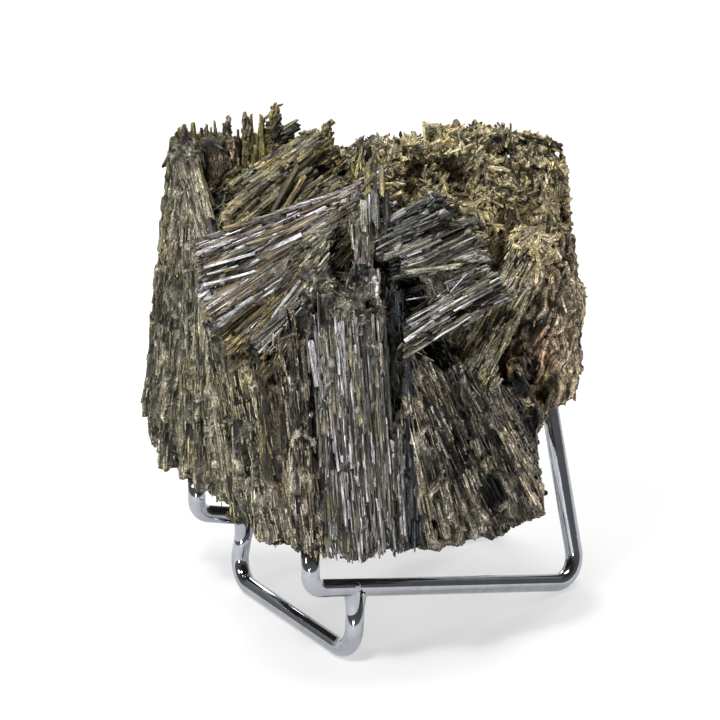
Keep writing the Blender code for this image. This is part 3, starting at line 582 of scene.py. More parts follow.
def stone_piece(name, points, loops, totals, stored, material, smooth):
    """A piece of the stone, with colours, gloss and the corners' grain places stored on it."""
    mesh = bpy.data.meshes.new(name)
    mesh.vertices.add(len(points))
    mesh.vertices.foreach_set("co", points.reshape(-1))
    mesh.loops.add(len(loops))
    mesh.loops.foreach_set("vertex_index", loops.astype(np.int32))
    mesh.polygons.add(len(totals))
    starts = np.cumsum(totals) - totals
    mesh.polygons.foreach_set("loop_start", starts.astype(np.int32))
    mesh.polygons.foreach_set("loop_total", totals.astype(np.int32))
    mesh.update(calc_edges=True)
    colours, gloss, grain = stored
    tint = mesh.color_attributes.new("tint", "FLOAT_COLOR", "POINT")
    tint.data.foreach_set("color", np.column_stack((colours, np.ones(len(points)))).reshape(-1))
    shine = mesh.attributes.new("shine", "FLOAT", "POINT")
    shine.data.foreach_set("value", gloss)
    layer = mesh.uv_layers.new(name="grain")
    layer.data.foreach_set("uv", grain.reshape(-1))
    piece = mesh_piece(name, mesh, material, smooth)
    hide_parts("epidote")


def prism_faces(count, sides):
    """Corners of the faces of many closed prisms, their sides before their caps, and each count."""
    corner = np.arange(sides)
    after = (corner + 1) % sides
    side_faces = np.stack((corner, after, after + sides, corner + sides), axis=1)
    caps = np.stack((corner[::-1], corner + sides))
    base = (np.arange(count) * 2 * sides)[:, None, None]
    loops = np.concatenate([(faces + base).reshape(-1) for faces in (side_faces, caps)])
    return loops, np.repeat((4, sides), (count * sides, count * 2))


def prism_grain(crystals, wide, deep, rng):
    """Grain places of the faces' corners, in millimetres round each prism and along it."""
    count, sides = wide.shape
    girth = crystals.width / MM * GIRTH
    length = np.linalg.norm(crystals.end - crystals.start, axis=1) / MM
    own = rng.uniform(0.0, 200.0, (count, 2))
    turns = np.arange(sides)[:, None] + (0, 1, 1, 0)
    rises = np.broadcast_to((0, 0, 1, 1), (sides, 4))
    side_grain = np.stack((own[:, 0, None, None] + girth[:, None, None] * turns / sides,
                           own[:, 1, None, None] + length[:, None, None] * rises), -1)
    cap_grain = np.stack((wide, deep), -1) / MM * 2.0 + own[:, None]
    cap_grain = np.stack((cap_grain[:, ::-1], cap_grain), axis=1)
    return np.concatenate((side_grain.reshape(-1), cap_grain.reshape(-1)))


def crystal_piece(name, crystals, sides, material, rng):
    """One piece from many closed prisms."""
    count = len(crystals.start)
    along = unit(crystals.end - crystals.start)
    out = unit(crystals.out - along * rowdot(crystals.out, along))
    across = np.cross(out, along)
    angle = (np.arange(sides) + rng.uniform(-0.12, 0.12, (count, sides))) * math.tau / sides
    angle += rng.normal(0, 0.16, (count, 1)) + (math.pi / 4 if sides == 4 else 0.0)
    radius = rng.uniform(0.92, 1.06, (count, sides))
    wide = np.cos(angle) * radius * crystals.width[:, None] / 2
    deep = np.sin(angle) * radius * crystals.depth[:, None] / 2
    slants = rng.normal(0, 0.6, (count, 2))
    tilts = rng.normal(0, 0.9, (count, 2))
    taper = rng.uniform(0.7, 1.0, (count, 2)) * crystals.taper
    points = np.empty((count, 2, sides, 3))
    for tip, middle in enumerate((crystals.start, crystals.end)):
        x = wide * taper[:, tip, None]
        y = deep * taper[:, tip, None]
        z = x * slants[:, tip, None] + y * tilts[:, tip, None]
        points[:, tip] = (middle[:, None] + across[:, None] * x[..., None]
                          + out[:, None] * y[..., None] + along[:, None] * z[..., None])
    colours = np.stack((crystals.colour, crystals.tip_colour), axis=1).reshape(-1, 3)
    stored = (np.repeat(colours, sides, axis=0), np.repeat(crystals.gloss, 2 * sides),
              prism_grain(crystals, wide, deep, rng))
    loops, totals = prism_faces(count, sides)
    stone_piece(name, points.reshape(-1, 3), loops, totals, stored, material, smooth=False)


# ---- the stone's ground ----
def nearest_sheaf(spots):
    """Each spot's sheaf, its direction there, its distance and room, and its grain place.

    The grain place is across, out and along the sheaf in millimetres; across is measured in
    shares of the sheaf's width there, so that the grain fans out as the sheaf does.
    """
    count = len(spots)
    wander = np.stack([smooth_noise(spots / WANDER_SIZE, 60 + axis) for axis in range(3)], axis=1)
    spots = spots + (wander - 0.5) * WANDER
    best = np.full(count, np.inf)
    index = np.zeros(count, dtype=int)
    flow, grain = np.zeros((count, 3)), np.zeros((count, 3))
    room = np.zeros((count, 2))
    for number, sheaf in enumerate(SHEAVES):
        start, end = np.array(place(sheaf.start)), np.array(place(sheaf.end))
        length = np.linalg.norm(end - start)
        along = (end - start) / length
        out = np.array(sheaf.outward)
        out = unit(out - along * out.dot(along))
        across = np.cross(out, along)
        local = spots - start
        run = np.clip(local @ along / length, 0, 1)
        widening = sheaf.width_end - sheaf.width_start
        half = (sheaf.width_start + widening * run) * MM / 2
        aside = np.clip(local @ across, -half, half)
        nearest = start + along * (run * length)[:, None] + across * aside[:, None]
        distance = np.linalg.norm(spots - nearest, axis=1)
        spread = aside / half * widening * MM / 2
        even = (sheaf.width_start + sheaf.width_end) * MM / 4 / half
        closer = distance < best
        best[closer] = distance[closer]
        index[closer] = number
        room[closer] = np.stack((run * length, (1 - run) * length), axis=1)[closer]
        flow[closer] = unit(along * length + across * spread[:, None])[closer]
        place_in = np.stack((local @ across * even, local @ out, local @ along), axis=1) / MM
        grain[closer] = place_in[closer] + number * GRAIN_STEP
    return Grain(index, flow, best, room, grain)


def region_looks(spots, normals, grain):
    """The look of each spot: its sheaf's, or that of the ground between sheaves."""
    names = np.array([sheaf.look for sheaf in SHEAVES], dtype=object)[grain.index]
    x, y, z = in_design(spots).T
    # Painted shade: faces that look down near the foot take the darker look "under".
    names[(z < UNDER_TOP) & (normals[:, 2] < -0.6)] = "under"
    names[(grain.distance > BORDER) & (z > TOP_FROM)] = "olive"
    rock = (x > ROCK_LEFT) & (x < ROCK_RIGHT) & (y < ROCK_FRONT)
    rock &= (z > ROCK_FOOT + 3 * np.sin(x)) & (z < ROCK_TOP)
    names[rock & ~np.isin(names, ROCK_KEEPS)] = "nodule"
    hay = (x > HAY_LEFT) & (z > HAY_FOOT) & (y > HAY_FRONT)
    hay &= (grain.distance > HAY_BORDER) | (z > HAY_HIGH)
    names[hay] = "hay"
    names[(x > FLANK_LEFT) & (z > FLANK_FOOT) & ~hay] = "flank"
    return looks_of(names)


def looks_of(names):
    """The looks of those names as one look, whose fields have a row for each."""
    kinds, index = np.unique(np.asarray(names, dtype=str), return_inverse=True)
    columns = zip(*(LOOKS[kind] for kind in kinds))
    return Look(*(np.array(column, dtype=float)[index] for column in columns))


def hue(spots):
    """Tint at each spot: brownish in patches, and pinkish where the flank is weathered."""
    warmth = np.clip((layered_noise(spots / WARM_PATCH, 2, 50) - 0.5) * 3.0, 0.0, 0.7)
    speckle = np.clip(layered_noise(spots / RUST_PATCH, 2, 160) * 2.6 - 0.8, 0, 1)
    rust = inside_share(spots, RUST)[0] * speckle
    return ((1.0 + (np.array(WARM_TINT) - 1.0) * warmth[:, None])
            * (1.0 + (np.array(RUST_TINT) - 1.0) * rust[:, None]))


def remeshed(points, corners):
    """Points, normals and faces of the solid rebuilt from small even facets."""
    mesh = new_mesh("even", points.tolist(), corners.tolist())
    even = linked("even", mesh)
    remesh = even.modifiers.new("remesh", "REMESH")
    remesh.mode = "VOXEL"
    remesh.voxel_size = SKIN_VOXEL
    done = even.evaluated_get(bpy.context.evaluated_depsgraph_get()).to_mesh()
    spots, normals = read(done.vertices, "co", 3), read(done.vertex_normals, "vector", 3)
    faces = read(done.loops, "vertex_index", 1, np.int32).reshape(-1, 4)
    bpy.data.objects.remove(even)
    bpy.data.meshes.remove(mesh)
    return spots, normals, faces


def ground_marks(spots, look, grain):
    """What shapes and colours the ground at each spot: its rods, noises, seams and hollows."""
    wide, fine = look.rods.T
    coarse_level, coarse_edge = rods(grain, wide, wide * 7.0, 10)
    fine_level, _ = rods(grain, fine, fine * 8.0, 20)
    bundle_level, bundle_edge = rods(grain, BUNDLE_WIDTH, BUNDLE_LENGTH, 100)
    patches = layered_noise(spots / PATCH, 2, 40)
    streaks = (smooth_noise(grain / (1.5, 1.8, 11.0), 130)
               + smooth_noise(grain / (0.8, 1.1, 6.0), 131) * 0.8) / 1.8
    split = chance(np.floor(grain[:, :1] / wide[:, None] / 1.5).astype(int), 90) < 0.5
    hollow, hollow_depth = inside_share(spots, HOLLOWS)
    knob, knob_height = inside_share(spots, KNOBS)
    return Marks(
        coarse=coarse_level, fine=fine_level, bundle=bundle_level - 0.5, patches=patches,
        lumps=layered_noise(spots / LUMP, 3, 30) - 0.5, streaks=streaks - 0.5,
        swell=layered_noise(spots / SWELL, 2, 110) - 0.5,
        pits=fade(layered_noise(spots / PIT, 2, 80), 0.40, -0.10),
        seam=fade(bundle_edge, 0.74, 0.26) * (patches > 0.38), gap=(fine_level < 0.22) * (1 - knob),
        groove=fade(coarse_edge, 0.70, 0.30) * (patches > 0.40) * split,
        hollow=hollow, hollow_depth=hollow_depth, knob=knob, knob_height=knob_height)


def ground_height(relief, crumb, marks):
    """How far each spot comes out, in millimetres."""
    rodded = (marks.coarse ** 1.5 * 0.9 - 0.3 + (marks.fine - 0.5) * 0.5 - marks.groove
              + marks.streaks * 1.2 + marks.bundle * 0.9 - marks.seam * 1.8 - marks.gap * 0.6)
    crumbly = marks.lumps * 2.2 - marks.pits * 1.5 + marks.swell * 2.5
    return relief * rodded + crumb * crumbly + marks.knob * marks.knob_height


def ground_colours(spots, look, relief, marks):
    """Colour of each spot, with painted shade in its grooves, pits, seams, gaps and hollows, and some
    painted glint streaks.
    """
    curly = np.clip(look.crumb * 1.6, 0, 1)
    mottle = marks.lumps * 1.3 * curly + marks.streaks * 1.9 * (1 - curly)
    # Painted shade: the tone is lowered in the grooves, pits, seams and gaps, where shade falls.
    tone = (look.light_share - 0.04 + (marks.patches - 0.5) * 1.2
            + (marks.fine - 0.5) * 0.6 + (marks.coarse - 0.5) * 0.5 + mottle
            - marks.groove * 0.7 - marks.pits * 0.4 - marks.seam * 0.8 - marks.gap * 0.8)
    tone = np.clip(tone, 0, 1.25)[:, None]
    dark, light = linear(look.dark) * 0.5, linear(look.light) * 1.15
    # Painted shade: where the ground is not crumbly it is darkened, so that it shows as shade between
    # the crystals laid on it.
    colours = (dark + (light - dark) * tone ** 1.3) * hue(spots) * (0.66 + 0.34 * curly)[:, None]
    # Painted highlight: on glossy ground, streaks take some of the light glint colour.
    painted_glint_streak = (look.gloss > GLOSSY) * (marks.fine > 0.7) * np.clip(marks.patches * 4 - 1.6, 0, 1)
    colours += (linear(PAINTED_GLINT_COLOUR) * 0.4 - colours) * painted_glint_streak[:, None]
    # Painted shade: darker in the hollows, and in the seams between bundles, more so where the relief
    # is deeper.
    return colours * ((1 - 0.85 * marks.hollow) * (1 - 0.7 * marks.seam * relief))[:, None]


def make_ground(points, corners, material):
    """The stone's own surface: coarse and fine rods along the grain, steps, grooves, crumbs."""
    spots, normals, faces = remeshed(points, corners)
    grain = nearest_sheaf(spots)
    look = region_looks(spots, normals, grain)
    marks = ground_marks(spots, look, grain.local)
    x, _, z = in_design(spots).T
    slender = (x < SLENDER_RIGHT) & (z > SLENDER_FROM)
    relief = look.relief * (1 - 0.7 * slender)
    crumb = np.maximum(look.crumb * (1 - 0.6 * slender), marks.knob * 0.7)
    out = normals * ground_height(relief, crumb, marks)[:, None]
    inward = unit(np.array(HOLLOW_INWARD)) * (marks.hollow * marks.hollow_depth)[:, None]
    moved = inside_box(trimmed(spots) + (out + inward) * MM, 0)
    colours = ground_colours(spots, look, relief, marks)
    gloss = np.clip(look.gloss * (0.4 + marks.coarse) - crumb * 0.3, 0, 1) * (1 - 0.6 * marks.hollow)
    order = np.argsort(spots[faces[:, 0], 0])
    count = math.ceil(len(faces) * 2 / PIECE_TRIANGLES)
    for number, chosen in enumerate(np.array_split(order, count)):
        used, corner = np.unique(faces[chosen], return_inverse=True)
        corner = corner.reshape(-1)
        across, out, along = grain.local[used].T
        stored = (colours[used], gloss[used], np.stack((across + out, along), axis=1)[corner])
        stone_piece(f"ground_{number + 1}", moved[used], corner, np.full(len(chosen), 4), stored,
                    material, smooth=True)
    return Ground(moved, faces, normals, spots, marks.hollow)


# ---- crystals on the stone ----
def surface_samples(ground, count, rng):
    """Spots spread over the ground by area, and what the ground stores at each of them."""
    corners = np.concatenate((ground.faces[:, :3], ground.faces[:, [0, 2, 3]]))
    a, b, c = (ground.points[corners[:, k]] for k in range(3))
    areas = np.linalg.norm(np.cross(b - a, c - a), axis=1)
    chosen = corners[rng.choice(len(areas), count, p=areas / areas.sum())]
    first = np.sqrt(rng.random((count, 1)))
    second = rng.random((count, 1))
    weights = np.stack((1 - first, first * (1 - second), first * second), axis=1)
    spots, normals, origins = ((field[chosen] * weights).sum(axis=1)
                               for field in (ground.points, ground.normals, ground.origins))
    hollow = (ground.hollow[chosen] * weights[:, :, 0]).sum(axis=1)
    return spots, unit(normals), origins, hollow


def crystal_colours(spots, look, grain, rng):
    """Body colour, tip colour and gloss of each crystal, from its place on the stone, with painted
    glints on some glossy ones.
    """
    count = len(spots)
    patches = patch_noise(spots, 9 * MM) * 0.6 + patch_noise(spots, 3 * MM, 7) * 0.5
    streaks = smooth_noise(grain / (2.4, 2.8, 24.0), 140) + smooth_noise(grain / (5, 6, 40), 141)
    share = look.light_share + patches * 0.7 + (streaks - 1.0) * 1.1
    lightness = np.clip(rng.beta(1.3, 1.6, count) + share - 0.5, 0.0, 1.15)[:, None]
    dark, light, tip = linear(look.dark), linear(look.light), linear(look.tip)
    body = dark + (light - dark) * lightness
    tints = (1.0 + rng.normal(0, 0.03, (count, 3))) * hue(spots)
    tip_share = np.clip(rng.random((count, 1)) * 0.8 * (0.4 + lightness), 0, 1)
    tips = body + (tip - body) * tip_share
    amber = rng.random((count, 1)) < AMBER_SHARE
    body = np.where(amber, body * 0.5 + linear(AMBER) * lightness * 0.5, body)
    gloss = np.clip(look.gloss + rng.normal(0, 0.2, count), 0, 1)
    # Painted highlight: in patches, a share of the glossy crystals take the light glint colour as
    # their body colour, and a little less of it at their tips.
    bright = (look.gloss > VERY_GLOSSY) & (patches > -0.35)
    bright |= (look.gloss > GLOSSY) & (patches > 0.3)
    painted_glint = (bright & (rng.random(count) < PAINTED_GLINT_SHARE))[:, None]
    body = np.where(painted_glint, linear(PAINTED_GLINT_COLOUR) * rng.uniform(0.5, 1.0, (count, 1)), body * tints)
    return body, np.where(painted_glint, body * 0.8, tips * tints), gloss


def keep_on_stone(middle, along, length, tree, proud):
    """Shortens each crystal until neither end stands further out than it may, or hangs down."""
    fringe_top = place((0, 0, FRINGE_TOP)).z
    for row in range(len(middle)):
        for _ in range(DRAW_BACK_ROUNDS):
            loose = False
            for hand in (-0.5, 0.5):
                spot = Vector(middle[row] + along[row] * length[row] * hand)
                ground, normal, _, distance = tree.find_nearest(spot)
                under = normal.z < DOWNWARD and ground.z < fringe_top
                allowed = proud[row] * (0.3 if under else 1.0)
                if (spot - ground).dot(normal) > 0 and distance > allowed:
                    loose = True
            if not loose:
                break
            length[row] *= SHORTENED
    return length


def out_of_hollows(crystals, movable):
    """Draws the ends that would cross a hollow back towards the crystal's middle."""
    middle = (crystals.start + crystals.end) / 2
    ends = [crystals.start, crystals.end]
    for hand in range(2):
        for _ in range(DRAW_BACK_ROUNDS):
            inside = movable & (inside_share(ends[hand], HOLLOWS)[0] > HOLLOW_EDGE)
            ends[hand] = np.where(inside[:, None], middle + (ends[hand] - middle) * 0.7, ends[hand])
    return crystals._replace(start=ends[0], end=ends[1])


def laid_along(flow, normals, look, rng):
    """Each crystal's direction, along the surface or out of it, and which are such stubs."""
    count = len(flow)
    along = unit(flow + rng.normal(0, 1, (count, 3)) * look.scatter[:, None])
    facing = rowdot(along, normals)
    stubs = np.abs(facing[:, 0]) > END_ON
    pitch = look.pitch + rng.normal(0, 0.03, count)
    laid = unit(along - normals * facing + normals * pitch[:, None])
    outward = along * np.where(facing < 0, -1, 1)
    return np.where(stubs[:, None], outward, laid), stubs


def crystal_sizes(look, stubs, rng):
    """Each crystal's width, depth and length."""
    count = len(stubs)
    width = between(look.width, rng.beta(0.9, 2.4, count)) * MM
    depth = np.minimum(width * rng.uniform(0.5, 0.9, count), DEEPEST)
    length = between(look.length, rng.beta(1.0, 2.6, count)) * MM
    return width, depth, np.where(stubs, rng.uniform(2.0, 4.5, count) * MM, length)


def flat_faces(along, normals, sheaves, look, width, stubs, rng):
    """The direction that each crystal's flat face looks in; glossy ones face alike."""
    roll = rng.normal(0, 1, (len(along), 1)) * np.where(width < LATH_WIDTH, 0.6, 0.1)[:, None]
    faced = np.array([sheaf.outward for sheaf in SHEAVES])[sheaves]
    alike = (look.gloss[:, None] > GLOSSY) & (rowdot(faced, normals) > 0.3)
    out = np.where(alike, unit(faced), normals)
    out = unit(out + unit(np.cross(along, out)) * roll)
    return np.where(stubs[:, None], unit(np.cross(along, rng.normal(0, 1, along.shape))), out)


def surface_crystals(ground, rng):
    """Fine crystals all over the stone, laid along the sheaves that they belong to."""
    tree = BVHTree.FromPolygons(ground.points.tolist(), ground.faces.tolist())
    spots, normals, origins, hollow = surface_samples(ground, SURFACE_CRYSTALS, rng)
    grain = nearest_sheaf(origins)
    look = region_looks(origins, normals, grain)
    kept = rng.random(len(spots)) < look.cover * (1 - 0.5 * hollow)
    end_on = np.abs(rowdot(grain.flow, normals)[:, 0]) > END_ON
    kept &= ~end_on | (look.crumb > CRUMBLY)
    spots, normals, hollow = spots[kept], normals[kept], hollow[kept]
    grain, look = rows_of(grain, kept), rows_of(look, kept)
    count = len(spots)
    along, stubs = laid_along(grain.flow, normals, look, rng)
    width, depth, length = crystal_sizes(look, stubs, rng)
    sunk = np.where(normals[:, 2] < DOWNWARD, 0.42, 0.25) * length
    lift = np.where(stubs, -sunk / depth, rng.uniform(-0.5, 0.05, count)) * depth
    middle = spots + normals * lift[:, None]
    proud = look.proud * MM * rng.uniform(0.5, 1.6, count) + depth * 0.5
    length = np.where(stubs, length, keep_on_stone(middle, along, length, tree, proud))
    half = length[:, None] / 2
    spare = rng.random((count, 2)) * (TOP_SPARE, LOWER_SPARE)
    reach = np.where(stubs[:, None], half, np.minimum(half, grain.room + spare))
    out = flat_faces(along, normals, grain.index, look, width, stubs, rng)
    body, tips, gloss = crystal_colours(middle, look, grain.local, rng)
    shade = (1 - HOLLOW_SHADE * hollow)[:, None]
    crystals = Crystals(middle - along * reach[:, :1], middle + along * reach[:, 1:],
                        out, width, depth, np.ones((count, 2)), body * shade, tips * shade, gloss)
    return out_of_hollows(crystals, hollow < HOLLOW_EDGE)


def hay_crystals(ground, rng):
    """Short blades at all angles over the right half of the top."""
    spots, normals, _, _ = surface_samples(ground, HAY_CRYSTALS * HAY_TRIES, rng)
    x, y, z = in_design(spots).T
    wanted = (x > HAY_LEFT - 1) & (z > HAY_FOOT - 1) & (y > HAY_FRONT - 2) & (normals[:, 2] > -0.2)
    wanted &= z > HAY_SLOPE_TOP - HAY_SLOPE * (x - HAY_LEFT + 1)
    spots, normals = spots[wanted][:HAY_CRYSTALS], normals[wanted][:HAY_CRYSTALS]
    count = len(spots)
    along = unit(rng.normal(0, 1, (count, 3)) + normals * 0.3)
    along *= np.where(rowdot(along, normals) < 0, -1.0, 1.0)
    width = (0.8 + 1.8 * rng.beta(1.0, 2.2, count)) * MM
    depth = width * rng.uniform(0.5, 0.9, count)
    length = rng.uniform(2.5, 8.0, (count, 1)) * MM
    out_share = np.where(in_design(spots)[:, :1] > HAY_CALM_LEFT, 0.25, 0.42)
    start = spots - along * length * (1 - out_share)
    end = spots + along * length * out_share
    out = unit(np.cross(along, rng.normal(0, 1, (count, 3))))
    colours = crystal_colours(spots, looks_of(["hay"] * count), spots / MM, rng)
    return Crystals(start, end, out, width, depth, np.ones((count, 2)), *colours)


def spike_crystals(rng):
    """Each spike is a close bunch of slender wedges with its longest in the middle."""
    rows = []
    for foot, tip, width in SPIKES:
        foot, tip = np.array(place(foot)), np.array(place(tip))
        for number in range(SPIKE_BUNCH):
            aside = rng.uniform(-1.2, 1.2, 3) * (1.0, 0.6, 0.0) * (number > 0)
            share = 1.0 - 0.32 * np.linalg.norm(aside) - rng.uniform(0.0, 0.12) * (number > 0)
            aside *= width * MM
            top = foot + (tip - foot) * share + aside * rng.uniform(0.3, 0.9)
            rows.append((foot + aside, top, width * rng.uniform(0.8, 1.35) * MM))
    start, end, width = (np.array(column) for column in zip(*rows))
    count = len(rows)
    out = np.tile((0.2, -1.0, 0.1), (count, 1)) + rng.normal(0, 0.4, (count, 3))
    body, tips, gloss = crystal_colours(start, looks_of(["olive"] * count), start / MM, rng)
    taper = np.tile((1.1, SPIKE_TAPER), (count, 1))
    return Crystals(start, end, out, width, width * 0.7, taper, body * 0.62, tips * 0.7, gloss)


def lone_crystals(rng):
    """The single crystals that stand out on the front."""
    starts, ends, widths, names = zip(*LONE_CRYSTALS)
    start, end = (np.array([place(point) for point in points]) for points in (starts, ends))
    width = np.array(widths) * MM
    count = len(names)
    bright = (np.array(names) == "gloss")[:, None]
    body, tips, gloss = crystal_colours(start, looks_of(names), start / MM, rng)
    # Painted highlight: the crystals of the look "gloss" take the light glint colour, a little less at
    # their tips.
    body = np.where(bright, linear(PAINTED_GLINT_COLOUR) * rng.uniform(0.5, 0.75, (count, 1)), body * 0.7)
    tips = np.where(bright, body * 0.8, tips * 0.7)
    out = np.tile(FRONT_UP, (count, 1))
    return Crystals(start, end, out, width, width * 0.6, np.ones((count, 2)), body, tips, gloss)


def make_stone(rng):
    """The ground and all its fine crystals, in pieces from left to right."""
    material = epidote_material()
    ground = make_ground(*node_mesh("epidote"), material)
    groups = (surface_crystals(ground, rng), hay_crystals(ground, rng), spike_crystals(rng),
              lone_crystals(rng))
    crystals = Crystals(*(np.concatenate(fields) for fields in zip(*groups)))
    amount = rng.uniform(0.5, 1.1, len(crystals.start))
    start, end = (inside_box(trimmed(spots, amount), SIDE_SPARE)
                  for spots in (crystals.start, crystals.end))
    crystals = crystals._replace(start=start, end=end)
    long_enough = np.linalg.norm(end - start, axis=1) > SHORTEST
    order = np.argsort(start[:, 0] + end[:, 0])
    order = order[long_enough[order]]
    narrow = crystals.width[order] < LATH_WIDTH
    for label, group, sides in (("needles", order[narrow], 4), ("laths", order[~narrow], 6)):
        triangles = 4 * sides - 4
        count = math.ceil(len(group) * triangles / PIECE_TRIANGLES)
        for number, chosen in enumerate(np.array_split(group, count)):
            crystal_piece(f"{label}_{number + 1}", rows_of(crystals, chosen), sides, material, rng)


# ---- the stand ----
def rounded(corners, radii):
    """A path through the corners, each inner one turned into an arc of its bend radius."""
    points = [corners[0]]
    for before, corner, after, radius in zip(corners, corners[1:], corners[2:], radii):
        back = (before - corner).normalized()
        forth = (after - corner).normalized()
        half_angle = back.angle(forth) / 2
        centre = corner + (back + forth).normalized() * (radius / math.sin(half_angle))
        first = corner + back * (radius / math.tan(half_angle)) - centre
        axis = forth.cross(back)
        sweep = math.pi - 2 * half_angle
        for step in range(BEND_STEPS + 1):
            turn = Matrix.Rotation(sweep * step / BEND_STEPS, 3, axis)
            points.append(centre + turn @ first)
    points.append(corners[-1])
    return points


def stand_corners():
    """The corners that the stand's wires bend at, in millimetres of the design frame."""
    forth = Vector((math.cos(STAND_TURN), math.sin(STAND_TURN), 0.0))
    side = Vector((-forth.y, forth.x, 0.0))
    pitch = math.atan2(ARM_RISE, ARM_LENGTH)
    half_angle = (math.pi / 2 - pitch) / 2
    rear_height = WIRE_FLAT + REAR_BEND - REAR_BEND / math.tan(half_angle)
    rear = Vector((*REAR_MIDDLE, rear_height))
    front = rear - forth * ARM_LENGTH + Vector((0.0, 0.0, ARM_RISE))
    foot = Vector((*REAR_MIDDLE, WIRE_FLAT)) - forth * LEG_SETBACK
    corners = {"rear": rear, "apex": rear + (forth * ARCH_LEAN + Vector((0, 0, 1))) * ARCH_RISE}
    for label, hand in (("near", -1.0), ("far", 1.0)):
        rear_corner = rear + side * hand * REAR_HALF_WIDTH
        front_corner = front + side * hand * FRONT_HALF_WIDTH
        corners[f"{label}_rear"] = rear_corner
        corners[f"{label}_front"] = front_corner
        corners[f"{label}_weld"] = front_corner.lerp(rear_corner, WELD_FROM_FRONT)
        corners[f"{label}_foot"] = foot + side * hand * LEG_FOOT_HALF_WIDTH
    return corners


def leg_path(corners):
    """The front leg's centre line, from one arm to the other."""
    route = ("near_weld", "near_foot", "far_foot", "far_weld")
    return rounded([corners[name] for name in route], (LEG_BEND, LEG_BEND))


def design_shift(corners):
    """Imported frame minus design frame, in millimetres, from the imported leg's lowest parts."""
    low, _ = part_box("front_leg")
    bar_low = np.array(leg_path(corners)[1:-1]).min(axis=0) - WIRE_RADIUS
    return Vector((low.x / MM - bar_low[0], low.y / MM - bar_low[1], low.z / MM))


def seated_apex(corners):
    """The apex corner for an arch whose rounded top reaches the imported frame's height."""
    rear, apex = corners["rear"], corners["apex"]
    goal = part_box("frame_wire")[1].z / MM - SHIFT.z
    rise = apex.z - rear.z
    lean = (apex - rear) / rise
    for _ in range(SEAT_STEPS):
        cut_off = ARCH_BEND * (math.hypot(1.0, rise / REAR_HALF_WIDTH) - 1.0)
        rise += goal - (rear.z + rise - cut_off + WIRE_RADIUS)
    return rear + lean * rise


def wire_tip(corner, tree):
    """The end of the frame's wire over its front corner, just under the stone."""
    stone = tree.ray_cast(place((corner.x, corner.y, 0.0)), Vector((0.0, 0, 1)))[0]
    return Vector((corner.x, corner.y, stone.z / MM - SHIFT.z - TIP_GAP))


def ring(middle, out, across, wide, deep):
    """Placed points round an ellipse with those two directions and half sizes."""
    angles = (math.tau * side / WIRE_SIDES for side in range(WIRE_SIDES))
    return [place(middle + (out * math.cos(angle) * wide + across * math.sin(angle) * deep))
            for angle in angles]


def lofted(name, rings, material):
    """A smooth closed piece through rings of points."""
    last = (len(rings) - 1) * WIRE_SIDES
    faces = []
    for low in range(0, last, WIRE_SIDES):
        high = low + WIRE_SIDES
        for side in range(WIRE_SIDES):
            after = (side + 1) % WIRE_SIDES
            faces.append((low + side, low + after, high + after, high + side))
    faces.append(tuple(reversed(range(WIRE_SIDES))))
    faces.append(tuple(range(last, last + WIRE_SIDES)))
    points = [point for points in rings for point in points]
    return mesh_piece(name, new_mesh(name, points, faces), material)


def tube(name, path, material):
    """A wire of round section along a path in design millimetres, with flat ends."""
    directions = [(after - before).normalized() for before, after in zip(path, path[1:])]
    out = directions[0].orthogonal().normalized()
    rings = []
    for index, spot in enumerate(path):
        before = directions[max(index - 1, 0)]
        after = directions[min(index, len(directions) - 1)]
        along = (before + after).normalized()
        out = (out - along * out.dot(along)).normalized()
        rings.append(ring(spot, out, along.cross(out), WIRE_RADIUS, WIRE_RADIUS))
    piece = lofted(name, rings, material)
    for face in piece.data.polygons[-2:]:
        face.use_smooth = False
    return piece


def flared_neck(name, foot, top, arm, material):
    """A weld's smooth fillet: a neck that flares along the arm above it, up to its axis."""
    forth = (top - foot).normalized()
    out = (arm - forth * arm.dot(forth)).normalized()
    length = (top - foot).length
    rings = []
    for number in range(NECK_RINGS + 1):
        share = number / NECK_RINGS
        flared = NECK_RADIUS + WIRE_RADIUS * NECK_FLARE * share ** 2.5
        rings.append(ring(foot + forth * (length * share), out, forth.cross(out), flared,
                          NECK_RADIUS))
    return lofted(name, rings, material)


def weld_bead(name, middle, size, material, shift):
    """A small uneven bead of weld metal under the plating."""
    mesh = bpy.data.meshes.new(name)
    shape = bmesh.new()
    bmesh.ops.create_icosphere(shape, subdivisions=4, radius=size * MM)
    for vertex in shape.verts:
        lump = noise.noise(vertex.co / (BEAD_LUMP * MM) + Vector((shift, shift, 0)))
        vertex.co = vertex.co * (1.0 + BEAD_DEPTH * lump) + place(middle)
    shape.to_mesh(mesh)
    shape.free()
    return mesh_piece(name, mesh, material)


def make_stand(corners):
    """The frame wire and the front leg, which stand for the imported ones."""
    points, triangles = node_mesh("epidote")
    tree = BVHTree.FromPolygons(points.tolist(), triangles.tolist())
    chrome = chrome_material()
    near, far = corners["near_front"], corners["far_front"]
    route = (wire_tip(near, tree), near, corners["near_rear"], seated_apex(corners),
             corners["far_rear"], far, wire_tip(far, tree))
    radii = (FRONT_BEND, REAR_BEND, ARCH_BEND, REAR_BEND, FRONT_BEND)
    frame_wire = tube("frame_wire_chrome", rounded(route, radii), chrome)
    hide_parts("frame_wire")
    leg = [tube("front_leg_chrome", leg_path(corners), chrome)]
    for label in ("near", "far"):
        arm, foot = corners[f"{label}_weld"], corners[f"{label}_foot"]
        down = (foot - arm).normalized()
        forth = (corners[f"{label}_rear"] - arm).normalized()
        leg.append(flared_neck(f"{label}_weld_neck", arm + down * NECK_LENGTH, arm, forth, chrome))
        for number, (aside, size) in enumerate(WELD_BEADS):
            leg.append(weld_bead(f"{label}_weld_bead_{number + 1}", arm + Vector(aside), size,
                                 chrome, number * 3.0))
    for piece in leg:
        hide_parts("front_leg")


